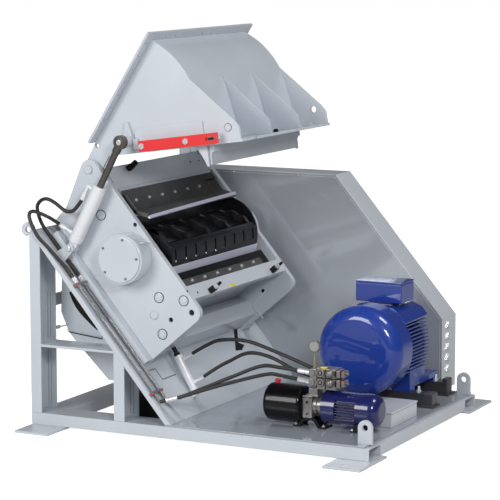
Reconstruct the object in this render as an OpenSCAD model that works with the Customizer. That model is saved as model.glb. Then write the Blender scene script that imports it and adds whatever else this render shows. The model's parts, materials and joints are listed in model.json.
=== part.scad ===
// Rotor granulator with a swing-up hopper on a sloped bed, its drive motor,
// belt guard and hydraulic power pack on one base frame.
// X runs along the base, Y towards the belt guard, Z up.
// The sloped bed has its own frame: s runs down the slope from its top edge,
// Y is shared, and w stands square to the bed from its underside.

/* [Base frame] */
// Length of the base frame along X
base_len = 2200; // [2100:10:2400]
// Depth of the base frame along Y
base_depth = 1650; // [1600:10:1800]
// Height of the channel web, which is its width when laid flat
channel_web = 180; // [140:5:200]
// Width of the channel flanges
channel_flange = 72; // [60:1:90]
// Thickness of the channel web
web_t = 9; // [6:0.5:12]
// Thickness of the channel flanges
flange_t = 11; // [8:0.5:14]
// Thickness of the foot plates
foot_t = 15; // [10:1:25]
// Length of a foot plate along X
foot_len = 230; // [200:5:260]
// How far a foot plate stands out of the frame, front or back
foot_reach = 200; // [160:5:260]
// Distance of the anchor hole from the frame's front or back face
anchor_reach = 120; // [80:5:140]
// Radius of the anchor holes
anchor_r = 14; // [8:1:20]

/* [Deck] */
// Thickness of the deck plate
deck_t = 11; // [6:1:16]
// How far the deck's right edge is set in from the end of the frame
deck_inset = 25; // [10:1:60]
// Thickness of the lifting lugs
lug_t = 20; // [14:1:30]
// Half width and end radius of the lifting lugs
lug_r = 43; // [34:1:54]
// Radius of the lifting lug holes
lug_hole_r = 18; // [10:1:24]
// Height of the lug holes over the deck
lug_rise = 92; // [80:1:130]

/* [Bed] */
// Angle of the bed to the floor
bed_angle = 50; // [46:0.5:52]
// Where the bed meets the deck, from the left end of the frame
bed_foot_x = 907; // [880:1:940]
// Length of the bed down the slope
bed_len = 1400; // [1340:5:1420]
// Thickness of the bed plate
bed_t = 30; // [20:1:36]
// Height of the bars on which the side plates stand
bar_h = 54; // [40:1:60]
// Width of those bars
bar_w = 100; // [60:1:110]

/* [Left frame] */
// Left face of the middle posts, from the left end of the frame
mid_post_x = 568; // [520:1:600]
// Height of the shelf channel over the floor
shelf_z = 488; // [420:1:520]
// Thickness of the shelf between the posts
shelf_t = 16; // [10:1:24]

/* [Housing] */
// Distance of the side plates from the frame's front and back faces
housing_margin = 178; // [160:1:190]
// Thickness of the side plates
side_t = 40; // [25:1:50]
// Where the side plates end at the top of the slope
side_s0 = 0; // [0:1:20]
// Where the side plates end at the foot of the slope
side_s1 = 1028; // [1000:1:1060]
// Radius of the side plates' lower corner
side_corner_r = 60; // [30:1:90]
// Place of the rotor axis down the slope
rotor_s = 472; // [462:1:482]
// Height of the rotor axis over the underside of the bed
rotor_w = 358; // [350:1:366]

/* [Rotor] */
// Radius of the circle that the rotor knives cut
cut_r = 245; // [235:1:248]
// Gap between the rotor's ends and the closed hopper's side plates
rotor_gap = 6; // [5:0.5:12]
// Radius of the rotor body
body_r = 196; // [180:1:205]
// Radius of the rotor shaft
shaft_r = 70; // [50:1:80]
// Number of rotor knives
knives = 3; // [2:1:3]
// Thickness of the rotor knives
knife_t = 14; // [10:1:18]
// Width of the rotor knives
knife_w = 60; // [50:1:70]

/* [Bearings] */
// Outer radius of the bearing housings
bearing_r = 148; // [130:1:160]
// How far the bearing housings stand out of the side plates
bearing_len = 121; // [90:1:140]
// Thickness of the bearing covers
cover_t = 14; // [8:1:20]
// Running clearance between the shaft and its bearings
shaft_play = 0.05; // [0.02:0.01:0.1]

/* [Hopper] */
// Angle of the hopper's flange to the floor when it is swung open
open_tilt = 8; // [4:0.5:10]
// Place of the hinge axis up the slope beyond the bed's top edge
hinge_up = 89; // [80:1:100]
// Height of the hinge axis over the underside of the bed
hinge_w = 472; // [466:1:476]
// Radius of the hinge pins
hinge_pin_r = 25; // [18:1:28]
// Radius of the round lugs and arms at the hinge
hinge_lug_r = 58; // [48:1:60]
// Thickness of the hopper's sheets
sheet_t = 12; // [8:1:16]
// Thickness of the hopper's side plates
hopper_side_t = 20; // [12:1:24]
// Thickness of the hopper flange
hopper_flange_t = 16; // [12:1:22]
// Gap between the hopper and the side plates' inner faces
hopper_gap = 6; // [5:0.5:10]
// Gap under the closed hopper flange
seat_gap = 5; // [4:0.5:8]
// Where the hopper flange ends, from the hinge axis
flange_end = 1013; // [990:1:1020]
// Width of the inlet flange
inlet_flange_w = 70; // [50:1:80]

/* [Cylinders] */
// Outer radius of the hopper cylinder
cyl_r = 33; // [28:1:36]
// Radius of the hopper cylinder's rod
cyl_rod_r = 16; // [12:1:18]
// Play between the rod and the barrel's bore
rod_play = 0.5; // [0.2:0.1:1]
// Length of the hopper cylinder's barrel from its lower pin
cyl_len = 425; // [400:1:430]
// Radius of the hopper cylinder's pins
cyl_pin_r = 14; // [10:1:16]
// Outer radius of the rod eye
eye_r = 41; // [34:1:42]
// Thickness of the rod eye
eye_t = 36; // [26:1:40]
// Outer radius of the screen cradle cylinder
cradle_cyl_r = 24; // [18:1:28]

/* [Drive] */
// Place of the motor shaft along X
motor_x = 1778; // [1760:1:1790]
// Height of the motor shaft over the deck
motor_rise = 364; // [354:1:374]
// Radius of the motor's fan cowl
cowl_r = 272; // [262:1:276]
// Distance from the fan cowl's face to the belt guard
cowl_reach = 880; // [860:1:900]
// Height of the slide rails over the deck
rail_h = 84; // [76:1:90]
// Thickness of the belt guard's sheets
guard_t = 4; // [3:0.5:6]
// Depth of the belt guard along Y
guard_depth = 220; // [200:1:240]
// Height of the belt guard's top over the floor
guard_top = 1413; // [1400:1:1430]

/* [Power pack] */
// Radius of the oil tank
tank_r = 110; // [95:1:112]
// Length of the oil tank
tank_len = 246; // [220:1:250]
// Height of the power pack's axis over the deck
pack_rise = 124; // [120:1:135]
// Where the power pack's axis is along Y
pack_y = 355; // [340:1:370]
// Radius of the hoses
hose_r = 11; // [8:0.5:12]

/* [Hidden] */

round_fn = 96;
beam_top = foot_t + channel_flange;
deck_top = beam_top + deck_t;
plate_gap = 0.5;

// ---- places in the bed's own frame
side_y0 = housing_margin;
side_y1 = side_y0 + side_t;
side_y3 = base_depth - housing_margin;
side_y2 = side_y3 - side_t;
chamber_w = side_y2 - side_y1;
bar_top = bed_t + bar_h;
side_top = hinge_w + hinge_lug_r;
hinge_s = -hinge_up;
open_turn = bed_angle + open_tilt;

// ---- places in the base's frame; the bed is welded to the deck across a hair's gap
bed_seat = 0.05;
function bed_x(s, w) = bed_foot_x - (bed_len - s) * cos(bed_angle) + w * sin(bed_angle);
function bed_z(s, w) = deck_top + bed_seat + (bed_len - s) * sin(bed_angle) + w * cos(bed_angle);
hinge_x = bed_x(hinge_s, hinge_w);
hinge_z = bed_z(hinge_s, hinge_w);

module on_bed()
    translate([bed_x(0, 0), 0, bed_z(0, 0)]) rotate([0, bed_angle, 0]) children();

// The open hopper's own frame: p runs along its flange away from the hinge, q stands on it.
module on_hopper()
    translate([hinge_x, 0, hinge_z]) rotate([0, -open_tilt, 0]) children();

// A flat outline in X and Z, pushed along Y.
module along_y(y, len)
    translate([0, y + len, 0]) rotate([90, 0, 0]) linear_extrude(len) children();

// A round bar along Y.
module bar_y(x, y, z, r, len)
    translate([x, y, z]) rotate([-90, 0, 0]) cylinder(r = r, h = len, $fn = round_fn);

// ---- base frame: channels laid flat, webs up
module channel_flat(len)
    difference() {
        cube([len, channel_web, channel_flange]);
        translate([-1, flange_t, -1])
            cube([len + 2, channel_web - 2 * flange_t, channel_flange - web_t + 1]);
    }

module long_beams() {
    for (y = [0, base_depth - channel_web])
        color("gainsboro") translate([0, y, foot_t]) channel_flat(base_len);
}

cross_len = base_depth - 2 * channel_web;

module cross_channels() {
    for (x = [channel_web, bed_foot_x + channel_web / 2, base_len])
        color("gainsboro") translate([x, channel_web, foot_t]) rotate([0, 0, 90]) channel_flat(cross_len);
}

foot_shift = 5;
foot_pitch = base_len - 200;

module foot_plate()
    difference() {
        cube([foot_len, foot_reach + channel_web, foot_t]);
        translate([anchor_x, foot_reach - anchor_reach, -1])
            cylinder(r = anchor_r, h = foot_t + 2, $fn = round_fn);
    }

anchor_x = 92;

module foot_plates() {
    for (x = [foot_shift, foot_shift + foot_pitch]) color("silver") {
        translate([x, -foot_reach, 0]) foot_plate();
        translate([x, base_depth + foot_reach, foot_t]) mirror([0, 1, 0]) mirror([0, 0, 1]) foot_plate();
    }
}

module deck_plate() {
    color("gainsboro") translate([bed_foot_x, 0, beam_top])
        cube([base_len - deck_inset - bed_foot_x, base_depth, deck_t]);
}

// ---- lifting lugs: upright plates with a round top and a hole
module lug_outline(rise)
    difference() {
        union() {
            translate([-lug_r, 0]) square([2 * lug_r, rise]);
            translate([0, rise]) circle(r = lug_r, $fn = round_fn);
        }
        translate([0, rise]) circle(r = lug_hole_r, $fn = round_fn);
    }

deck_lug_x = base_len - 50;
deck_lug_y = 60;
bed_lug_s = -22;

module lifting_lugs() {
    for (y = [deck_lug_y, base_depth - deck_lug_y - lug_t]) color("gainsboro") {
        translate([deck_lug_x, 0, deck_top]) along_y(y, lug_t) lug_outline(lug_rise);
    }
    for (y = [0, base_depth - lug_t]) color("gainsboro") difference() {
        on_bed() translate([bed_lug_s, 0, 0]) bed_lug(y);
        translate([-plate_gap, y - 1, beam_top])
            cube([2 * channel_flange, lug_t + 2, bed_z(0, 0) + plate_gap - beam_top]);
    }
}

module bed_lug(y)
    along_y(y, lug_t) difference() {
        circle(r = lug_r, $fn = round_fn);
        circle(r = lug_hole_r, $fn = round_fn);
        translate([-bed_lug_s - plate_gap, -2 * lug_r]) square([2 * lug_r, 4 * lug_r]);
    }

// ---- left frame: upright channels, cut to the slope of the bed
under_bed = 0.2;

module under_slope(y, depth)
    along_y(y, depth) polygon([
        [-200, beam_top], [bed_x(bed_len, -under_bed), beam_top], [bed_x(bed_len, -under_bed), bed_z(bed_len, -under_bed)],
        [bed_x(0, -under_bed), bed_z(0, -under_bed)], [-200, bed_z(0, -under_bed)]]);

module post(x, y)
    intersection() {
        translate([x, y, beam_top]) difference() {
            cube([channel_flange, channel_web, bed_z(0, 0)]);
            translate([web_t, flange_t, -1])
                cube([channel_flange, channel_web - 2 * flange_t, bed_z(0, 0) + 2]);
        }
        under_slope(y - 1, channel_web + 2);
    }

module end_frame(y) {
    post(0, y);
    post(mid_post_x, y);
    intersection() {
        translate([channel_flange, y, shelf_z])
            cube([mid_post_x - channel_flange, channel_web, shelf_t]);
        under_slope(y - 1, channel_web + 2);
    }
}

tie_h = 70;
tie_t = 30;
tie_z = 700;
head_h = 130;
head_gap = 2;
head_z = slope_z(web_t + channel_flange) - head_gap - head_h;

module left_frames() {
    for (y = [0, base_depth - channel_web]) color("gainsboro") end_frame(y);
    color("gray") translate([web_t, channel_web, tie_z])
        cube([tie_t, cross_len, tie_h]);
    color("gray") translate([web_t, channel_web, head_z])
        cube([channel_flange, cross_len, head_h]);
}

// ---- bed and the bars under the housing
outlet_s0 = 250;
outlet_s1 = 760;
outlet_edge = 60;

module bed_plate() {
    color("gainsboro") on_bed() difference() {
        along_y(0, base_depth)
            polygon([[0, 0], [bed_len, 0], [bed_len + bed_t / tan(bed_angle), bed_t], [0, bed_t]]);
        translate([outlet_s0, side_y1 + outlet_edge, -1])
            cube([outlet_s1 - outlet_s0, chamber_w - 2 * outlet_edge, bed_t + 2]);
    }
}

module bed_bars() {
    for (y = [side_y1 - bar_w, side_y2]) color("gainsboro") on_bed()
        translate([70, y, bed_t]) cube([side_s1 - 70, bar_w, bar_h]);
}

// ---- discharge housing: a sheet trough and funnel under the bed
housing_reach = 13;
trough_x0 = 90;

// The same outline with every edge moved in by t. Its points run anticlockwise.
function inset(outline, t) = let (n = len(outline)) [for (i = [0:n - 1])
    let (a = outline[(i + n - 1) % n], b = outline[i], c = outline[(i + 1) % n],
        u = (b - a) / norm(b - a), v = (c - b) / norm(c - b),
        side = [-u[1] - v[1], u[0] + v[0]]) b + t * side / (1 + u * v)];

function slope_z(x) = bed_z(bed_len, -under_bed) + (bed_x(bed_len, -under_bed) - x) * tan(bed_angle);
trough_outline = [[trough_x0, slope_z(trough_x0)], [74, 667], [97, 612], [126, 548], [167, 500],
    [238, 431], [400, 275], [480, 275], [520, 430], [560, slope_z(560)]];

// It is open to the bed's outlet above and at the foot of the funnel below.
module discharge_housing() {
    inner = inset(trough_outline, sheet_t);
    inner_start = side_y1 + housing_reach + sheet_t;
    inner_len = chamber_w - 2 * (housing_reach + sheet_t);
    color("silver") difference() {
        along_y(side_y1 + housing_reach, chamber_w - 2 * housing_reach) polygon(trough_outline);
        along_y(inner_start, inner_len) polygon(inner);
        translate([inner[6][0], inner_start, inner[6][1] - sheet_t - 1])
            cube([inner[7][0] - inner[6][0], inner_len, sheet_t + 2]);
        on_bed() translate([outlet_s0, side_y1 + outlet_edge, -sheet_t - 2])
            cube([outlet_s1 - outlet_s0, chamber_w - 2 * outlet_edge, sheet_t + 3]);
    }
}

// ---- side plates of the housing
rotor_x = bed_x(rotor_s, rotor_w);
rotor_z = bed_z(rotor_s, rotor_w);
side_toe = [-14, 202];
shaft_hole_r = shaft_r + 20;
hinge_centre = [hinge_s, hinge_w];
// Straight edges run this far inside the round lug that they meet.
lug_overlap = 0.1;

// Where a line from p touches the circle of radius r round c, on the circle's left side.
function touch(c, r, p) = let (d = p - c, a = atan2(d[1], d[0]) - acos(r / norm(d)))
    c + r * [cos(a), sin(a)];

module side_outline()
    difference() {
        union() {
            polygon([[side_s0, bar_top], [side_s1, bar_top], [side_s1, side_top - side_corner_r],
                [side_s1 - side_corner_r, side_top], [hinge_s, side_top - lug_overlap],
                touch(hinge_centre, hinge_lug_r - lug_overlap, side_toe), side_toe]);
            translate([side_s1 - side_corner_r, side_top - side_corner_r])
                circle(r = side_corner_r, $fn = round_fn);
            translate(hinge_centre) circle(r = hinge_lug_r, $fn = round_fn);
        }
        translate([rotor_s, rotor_w]) circle(r = shaft_hole_r, $fn = round_fn);
        translate(hinge_centre) circle(r = hinge_pin_r + shaft_play, $fn = round_fn);
    }

module side_plate_front() color("gainsboro") on_bed() along_y(side_y0, side_t) side_outline();
module side_plate_rear() color("gainsboro") on_bed() along_y(side_y2, side_t) side_outline();

// ---- chamber: everything between the side plates
rotor_in = hopper_gap + hopper_side_t + rotor_gap;
rotor_y0 = side_y1 + rotor_in;
rotor_len = chamber_w - 2 * rotor_in;
knife_clear = 5;
wall_clear = 8;
beam_s0 = 820;
beam_s1 = 910;
beam_drop = 40;
front_wall_t = 16;
clamp_t = 45;
lower_knife_w = 475;
lower_knife_t = 20;
clamp_s0 = 717;
cradle_gap = 13;
cradle_t = 25;

module rotor_room(r) translate([rotor_s, rotor_w]) circle(r = r, $fn = round_fn);

module cross_beam() {
    color("gainsboro") on_bed() along_y(side_y1, chamber_w) difference() {
        polygon([[clamp_s0 - 17, 330], [clamp_s0 - 17, lower_knife_w - lower_knife_t],
            [beam_s0, lower_knife_w - lower_knife_t], [beam_s0, side_top], [beam_s1, side_top],
            [beam_s1, side_top - beam_drop], [beam_s0 + front_wall_t, side_top - beam_drop],
            [beam_s0 + front_wall_t, bed_t], [beam_s0, bed_t], [beam_s0, 330]]);
        rotor_room(cut_r + wall_clear);
    }
}

upper_clamp_s = [150, 275];
upper_seat_w = side_top - 25;
upper_clamp_t = 35;
upper_clamp_len = 985;
upper_tip = [347, 575];

// The upper knife and its clamp fit between the closed hopper's side plates.
module knife_bars() {
    color("dimgray") on_bed() {
        along_y(side_y1, chamber_w) difference() {
            polygon([[clamp_s0 - 14, lower_knife_w - lower_knife_t], [beam_s0, lower_knife_w - lower_knife_t],
                [beam_s0, lower_knife_w + clamp_t], [clamp_s0, lower_knife_w + clamp_t],
                [clamp_s0, lower_knife_w], [clamp_s0 - 14, lower_knife_w]]);
            rotor_room(cut_r + knife_clear);
        }
        along_y(rotor_y0, rotor_len) difference() {
            polygon([[upper_clamp_s[0] + 20, upper_seat_w], [upper_clamp_s[1], upper_seat_w],
                [upper_tip[0], upper_tip[1] - 12], upper_tip, upper_tip + [-14, 10],
                [upper_clamp_s[1] - 20, upper_seat_w + 15], [upper_clamp_s[0] + 20, upper_seat_w + 15]]);
            rotor_room(cut_r + knife_clear);
        }
        along_y(rotor_y0, upper_clamp_len)
            polygon([[upper_clamp_s[0], upper_seat_w], [upper_clamp_s[1], upper_seat_w],
                [upper_clamp_s[1] + 14, upper_seat_w + 20], [upper_clamp_s[1] - 12, upper_seat_w + upper_clamp_t],
                [upper_clamp_s[0], upper_seat_w + upper_clamp_t]]);
    }
}

wall_s0 = 62;
wall_t = 40;
wall_block_w = 340;
ledge_s = [-50, upper_clamp_s[0] - 10];
ledge_drop = 4;

// Its ledge lies under the closed hopper's flange, between the hopper's side plates.
module upper_wall() {
    color("dimgray") on_bed() {
        along_y(side_y1, chamber_w) difference() {
            polygon([[wall_s0, bed_t], [wall_s0 + wall_t, bed_t], [wall_s0 + wall_t, wall_block_w],
                [upper_clamp_s[1], wall_block_w], [upper_clamp_s[1], upper_seat_w],
                [wall_s0 + wall_t, upper_seat_w], [wall_s0 + wall_t, side_top], [wall_s0, side_top]]);
            rotor_room(cut_r + wall_clear);
        }
        along_y(rotor_y0, rotor_len)
            polygon([[ledge_s[0], upper_seat_w], [ledge_s[1], upper_seat_w],
                [ledge_s[1], side_top - ledge_drop], [ledge_s[0], side_top - ledge_drop]]);
    }
}

module screen_cradle() {
    color("dimgray") on_bed() along_y(side_y1, chamber_w) intersection() {
        difference() {
            rotor_room(cut_r + cradle_gap + cradle_t);
            rotor_room(cut_r + cradle_gap);
        }
        translate([rotor_s, rotor_w])
            polygon([[0, 0], for (a = [190:40:350]) 2 * cut_r * [cos(a), sin(a)]]);
    }
}

trough_in = [23, 30, 125];
trough_w = [140, 184, 190];

module lower_trough() {
    color("silver") on_bed() along_y(side_y1, chamber_w)
        polygon([[beam_s0 + front_wall_t, bed_t], [side_s1 - trough_in[0], bed_t],
            [side_s1 - trough_in[0], bar_top], [side_s1 - trough_in[1], trough_w[1]],
            [side_s1 - trough_in[2], trough_w[2]], [beam_s0 + front_wall_t, trough_w[0]]]);
}

// ---- bearings on the outer faces of the side plates
module bearings() {
    for (y = [side_y0 - bearing_len, side_y3]) color("gainsboro") difference() {
        bar_y(rotor_x, y, rotor_z, bearing_r, bearing_len);
        bar_y(rotor_x, y - 1, rotor_z, shaft_r + shaft_play, bearing_len + 2);
    }
}

module bearing_cover() {
    color("gainsboro") bar_y(rotor_x, side_y0 - bearing_len - cover_t, rotor_z, bearing_r - 12, cover_t);
}

// ---- rotor: turns about its shaft
knife_lead = 21;
knife_tilt = 12;
knife_along = [-sin(knife_tilt), cos(knife_tilt)];
knife_into = [-cos(knife_tilt), -sin(knife_tilt)];
carrier_r = cut_r - 4;
carrier_turn = 27;
carrier_end = 51;
shaft_end_r = 55;
shaft_end_gap = 16;
shaft_out = 150;

module per_knife()
    for (k = [0:knives - 1]) rotate(knife_lead + 360 * k / knives) children();

module rotor_body() {
    color("dimgray") on_bed() along_y(rotor_y0, rotor_len) translate([rotor_s, rotor_w]) difference() {
        union() {
            circle(r = body_r, $fn = round_fn);
            per_knife() polygon([[0, 0], [cut_r, 0] + knife_t * knife_into,
                [cut_r, 0] + knife_t * knife_into + knife_w * knife_along,
                [cut_r, 0] + knife_w * knife_along,
                carrier_r * [cos(carrier_turn), sin(carrier_turn)],
                body_r * [cos(carrier_end), sin(carrier_end)]]);
        }
        circle(r = shaft_r + shaft_play, $fn = round_fn);
    }
}

module rotor_knives() {
    color("lavender") on_bed() along_y(rotor_y0, rotor_len) translate([rotor_s, rotor_w])
        per_knife() translate([cut_r, 0]) rotate(knife_tilt) translate([-knife_t, 0])
            square([knife_t, knife_w]);
}

module rotor_shaft() {
    color("silver") {
        bar_y(rotor_x, side_y0 - bearing_len + shaft_end_gap, rotor_z, shaft_r,
            side_y3 - side_y0 + 2 * bearing_len - shaft_end_gap);
        bar_y(rotor_x, side_y3 + bearing_len, rotor_z, shaft_end_r,
            base_depth + shaft_out - side_y3 - bearing_len);
    }
}

// ---- hopper: swings about the hinge pins
pin_play = 0.3;
pin_head = 12;
hopper_y0 = side_y1 + hopper_gap;
hopper_y1 = side_y2 - hopper_gap;
hopper_w = hopper_y1 - hopper_y0;
inner_y0 = hopper_y0 + hopper_side_t;
inner_w = hopper_w - 2 * hopper_side_t;
flange_q0 = hinge_lug_r + seat_gap;
flange_q1 = flange_q0 + hopper_flange_t;
flange_p0 = 44;
arm_end = 120;
back_p = 64;
mouth_foot = [45, 159];
mouth_len = 693;
mouth_angle = 50;
mouth_along = [cos(mouth_angle), sin(mouth_angle)];
sheet_foot_p = 803;
sheet_lean = 10.6;
sheet_straight = 270;
sheet_bend_r = 534;
sheet_along = [sin(sheet_lean), -cos(sheet_lean)];
bend_centre = [sheet_foot_p, flange_q1] - sheet_straight * sheet_along
    - sheet_bend_r * [cos(sheet_lean), sin(sheet_lean)];
gusset_turn = 23;
rib_t = 12;

module hinge_pins() {
    color("silver") {
        bar_y(hinge_x, side_y0 - pin_head, hinge_z, hinge_pin_r, inner_y0 - side_y0 + pin_head + 5);
        bar_y(hinge_x, hopper_y1 - hopper_side_t - 5, hinge_z, hinge_pin_r,
            side_y3 - hopper_y1 + hopper_side_t + 5 + pin_head);
    }
}

// Everything on the inner side of the bent sheet, out to the radius r of its bend.
module inside_sheet(r)
    union() {
        translate(bend_centre) circle(r = r, $fn = 2 * round_fn);
        polygon([bend_centre, [bend_centre[0], flange_q1],
            bend_centre + r * [cos(sheet_lean), sin(sheet_lean)] + sheet_straight * sheet_along,
            bend_centre + r * [cos(sheet_lean), sin(sheet_lean)]]);
    }

// The side plates' part outside the bent sheet, which the ribs repeat.
gusset_in = [10, 13, 41];
gusset_q = [153, 193];

module gusset_outline()
    polygon([bend_centre, [bend_centre[0], flange_q1], [flange_end - gusset_in[0], flange_q1],
        [flange_end - gusset_in[1], gusset_q[0]], [flange_end - gusset_in[2], gusset_q[1]],
        bend_centre + sheet_bend_r * [cos(gusset_turn), sin(gusset_turn)]]);

module hopper_side_outline()
    difference() {
        union() {
            intersection() {
                inside_sheet(sheet_bend_r);
                polygon([[back_p, flange_q1], mouth_foot, mouth_foot + 1.2 * mouth_len * mouth_along,
                    [flange_end, 1.2 * mouth_len], [flange_end, flange_q1]]);
            }
            gusset_outline();
            circle(r = hinge_lug_r, $fn = round_fn);
            polygon([[-41, 41], mouth_foot, [arm_end, flange_q1], [arm_end, flange_q0], [41, -41]]);
        }
        circle(r = hinge_pin_r + pin_play, $fn = round_fn);
    }

module hopper_sides() {
    for (y = [hopper_y0, hopper_y1 - hopper_side_t])
        color("gainsboro") on_hopper() along_y(y, hopper_side_t) hopper_side_outline();
}

module hopper_ribs() {
    for (k = [1, 2]) color("gainsboro") on_hopper()
        along_y(inner_y0 + k * inner_w / 3 - rib_t / 2, rib_t) difference() {
            gusset_outline();
            inside_sheet(sheet_bend_r);
        }
}

module hopper_sheets() {
    color("gainsboro") on_hopper() along_y(inner_y0, inner_w) {
        intersection() {
            difference() {
                inside_sheet(sheet_bend_r);
                inside_sheet(sheet_bend_r - sheet_t);
            }
            polygon([bend_centre, [bend_centre[0], flange_q1], [flange_end, flange_q1],
                [flange_end, 1.2 * mouth_len], mouth_foot + 1.2 * mouth_len * mouth_along,
                mouth_foot + mouth_len * mouth_along]);
        }
        polygon([[back_p, flange_q1], [back_p + sheet_t, flange_q1], mouth_foot + [sheet_t, 0], mouth_foot]);
    }
}

notch_w = 44;
notch_len = 58;
notch_side = 181;
lip_t = 12;
lip_q = 8;
lip_p = sheet_foot_p - 18;

module hopper_flange() {
    color("gainsboro") on_hopper() {
        difference() {
            translate([flange_p0, hopper_y0, flange_q0])
                cube([flange_end - flange_p0, hopper_w, hopper_flange_t]);
            translate([back_p + sheet_t, inner_y0, flange_q0 - 1])
                cube([lip_p - back_p - sheet_t, inner_w, hopper_flange_t + 2]);
            for (y = [hopper_y0 - 1, hopper_y1 - hopper_side_t])
                translate([flange_p0 - 1, y, flange_q0 - 1])
                    cube([arm_end - flange_p0 + 1, hopper_side_t + 1, hopper_flange_t + 2]);
            for (y = [hopper_y0 + notch_side, hopper_y1 - notch_side])
                translate([flange_end - notch_len, y, flange_q0 - 1]) {
                    cylinder(r = notch_w / 2, h = hopper_flange_t + 2, $fn = round_fn);
                    translate([0, -notch_w / 2, 0]) cube([notch_len + 1, notch_w, hopper_flange_t + 2]);
                }
        }
        translate([lip_p, inner_y0, lip_q]) cube([lip_t, inner_w, flange_q0 - lip_q]);
    }
}

inlet_flange_t = 15;

module inlet_flange() {
    color("gainsboro") on_hopper() translate([mouth_foot[0], 0, mouth_foot[1]]) rotate([0, -mouth_angle, 0])
        difference() {
            translate([-8, hopper_y0 - inlet_flange_w, 0])
                cube([mouth_len + inlet_flange_w + 8, hopper_w + 2 * inlet_flange_w, inlet_flange_t]);
            translate([sheet_t, inner_y0, -1]) cube([mouth_len - sheet_t, inner_w, inlet_flange_t + 2]);
        }
}

lock_p0 = 370;
lock_p1 = 887;
lock_q = 102;
lock_h = 64;
lock_t = 25;
lock_y = 150;
lock_bolts = [392, 685];
lock_bolt_r = 14;
lock_slot = [60, 22];

module locking_bar() {
    color("red") on_hopper() {
        difference() {
            translate([lock_p0, lock_y, lock_q - lock_h / 2]) cube([lock_p1 - lock_p0, lock_t, lock_h]);
            translate([lock_p1 - lock_slot[0] - 12, lock_y - 1, lock_q - lock_slot[1] / 2])
                cube([lock_slot[0], lock_t + 2, lock_slot[1]]);
        }
        for (p = lock_bolts) bar_y(p, lock_y + lock_t, lock_q, lock_bolt_r, hopper_y0 - lock_y - lock_t);
    }
}

// ---- hopper cylinder: its barrel turns on the bracket, its rod slides in the barrel
cyl_y = 110;
cyl_foot_s = 215;
cyl_foot_w = 112;
eye_p = 279;
eye_q = 141;
cyl_foot = [bed_x(cyl_foot_s, cyl_foot_w), bed_z(cyl_foot_s, cyl_foot_w)];
eye_open = [hinge_x + eye_p * cos(open_tilt) - eye_q * sin(open_tilt),
    hinge_z + eye_p * sin(open_tilt) + eye_q * cos(open_tilt)];
cyl_reach = norm(eye_open - cyl_foot);
cyl_lean = atan2(eye_open[1] - cyl_foot[1], eye_open[0] - cyl_foot[0]);
eye_gap = 1.5;
boss_r = 34;
foot_eye_r = 22;
foot_eye_t = 30;
foot_neck = 45;
rod_len = 400;
bore_start = 90;
port_r = 13;
port_low = 82;
port_high = 385;
port_reach = 130;
ferrule_side = 72;
ferrule_end = 293;
bracket_t = 14;
bracket_gap = 5;
bracket_half = 40;

module on_cylinder()
    translate([cyl_foot[0], cyl_y, cyl_foot[1]]) rotate([0, 90 - cyl_lean, 0]) children();

module cylinder_boss() {
    color("gainsboro") on_hopper()
        bar_y(eye_p, cyl_y + eye_t / 2 + eye_gap, eye_q, boss_r, hopper_y0 - cyl_y - eye_t / 2 - eye_gap);
}

bracket_y = cyl_y - foot_eye_t / 2 - bracket_gap - bracket_t;
bracket_y2 = cyl_y + foot_eye_t / 2 + bracket_gap;

module bracket_cheek(w0)
    union() {
        translate([cyl_foot_s, cyl_foot_w]) circle(r = foot_eye_r + 4, $fn = round_fn);
        polygon([[cyl_foot_s - bracket_half, w0], [cyl_foot_s + bracket_half, w0],
            [cyl_foot_s + foot_eye_r + 3.8, cyl_foot_w], [cyl_foot_s - foot_eye_r - 3.8, cyl_foot_w]]);
    }

module cylinder_bracket() {
    color("silver") {
        on_bed() along_y(bracket_y, bracket_t) bracket_cheek(bed_t);
        on_bed() along_y(bracket_y2, bracket_t) bracket_cheek(bar_top);
        bar_y(cyl_foot[0], bracket_y - 8, cyl_foot[1], cyl_pin_r, bracket_y2 + bracket_t - bracket_y + 16);
    }
}

module hopper_cylinder() {
    color("gainsboro") on_cylinder() difference() {
        union() {
            translate([0, 0, foot_neck]) cylinder(r = cyl_r, h = cyl_len - foot_neck, $fn = round_fn);
            translate([-foot_eye_t / 2, -foot_eye_t / 2, 0]) cube([foot_eye_t, foot_eye_t, foot_neck]);
            bar_y(0, -foot_eye_t / 2, 0, foot_eye_r, foot_eye_t);
            translate([-port_reach, 0, port_low]) rotate([0, 90, 0])
                cylinder(r = port_r, h = port_reach - cyl_rod_r - 4, $fn = round_fn);
            translate([-ferrule_side, 0, port_high]) rotate([0, 90, 0])
                cylinder(r = port_r, h = ferrule_side - cyl_rod_r - 4, $fn = round_fn);
            translate([-ferrule_side, 0, ferrule_end])
                cylinder(r = port_r, h = port_high - ferrule_end + port_r, $fn = round_fn);
        }
        bar_y(0, -foot_eye_t, 0, cyl_pin_r + pin_play, 2 * foot_eye_t);
        translate([0, 0, bore_start])
            cylinder(r = cyl_rod_r + rod_play, h = cyl_len, $fn = round_fn);
    }
}

module hopper_cylinder_rod() {
    color("dimgray") on_cylinder() {
        translate([0, 0, cyl_reach - rod_len]) cylinder(r = cyl_rod_r, h = rod_len, $fn = round_fn);
        bar_y(0, -eye_t / 2, cyl_reach, eye_r, eye_t);
        bar_y(0, -eye_t / 2 - 10, cyl_reach, cyl_pin_r, 12);
    }
}

// ---- cradle cylinder on the bed
cradle_cyl_in = 20;
cradle_cyl_s = side_s1 - cradle_cyl_in;
cradle_cyl_w = 112;
cradle_cyl_y = 420;
cradle_end_w = 61;
cradle_rod_len = 56;
cradle_foot_room = 96;
cradle_barrel_len = bed_len - cradle_foot_room - cradle_cyl_s - cradle_rod_len;
cradle_cyl_fall = asin((cradle_cyl_w - cradle_end_w) / (cradle_rod_len + cradle_barrel_len));
cradle_port_in = [36, 51];
cradle_ports = [cradle_rod_len + cradle_port_in[0], cradle_rod_len + cradle_barrel_len - cradle_port_in[1]];
cradle_port_reach = 100;
cradle_lug = [30, 36, 52];

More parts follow.
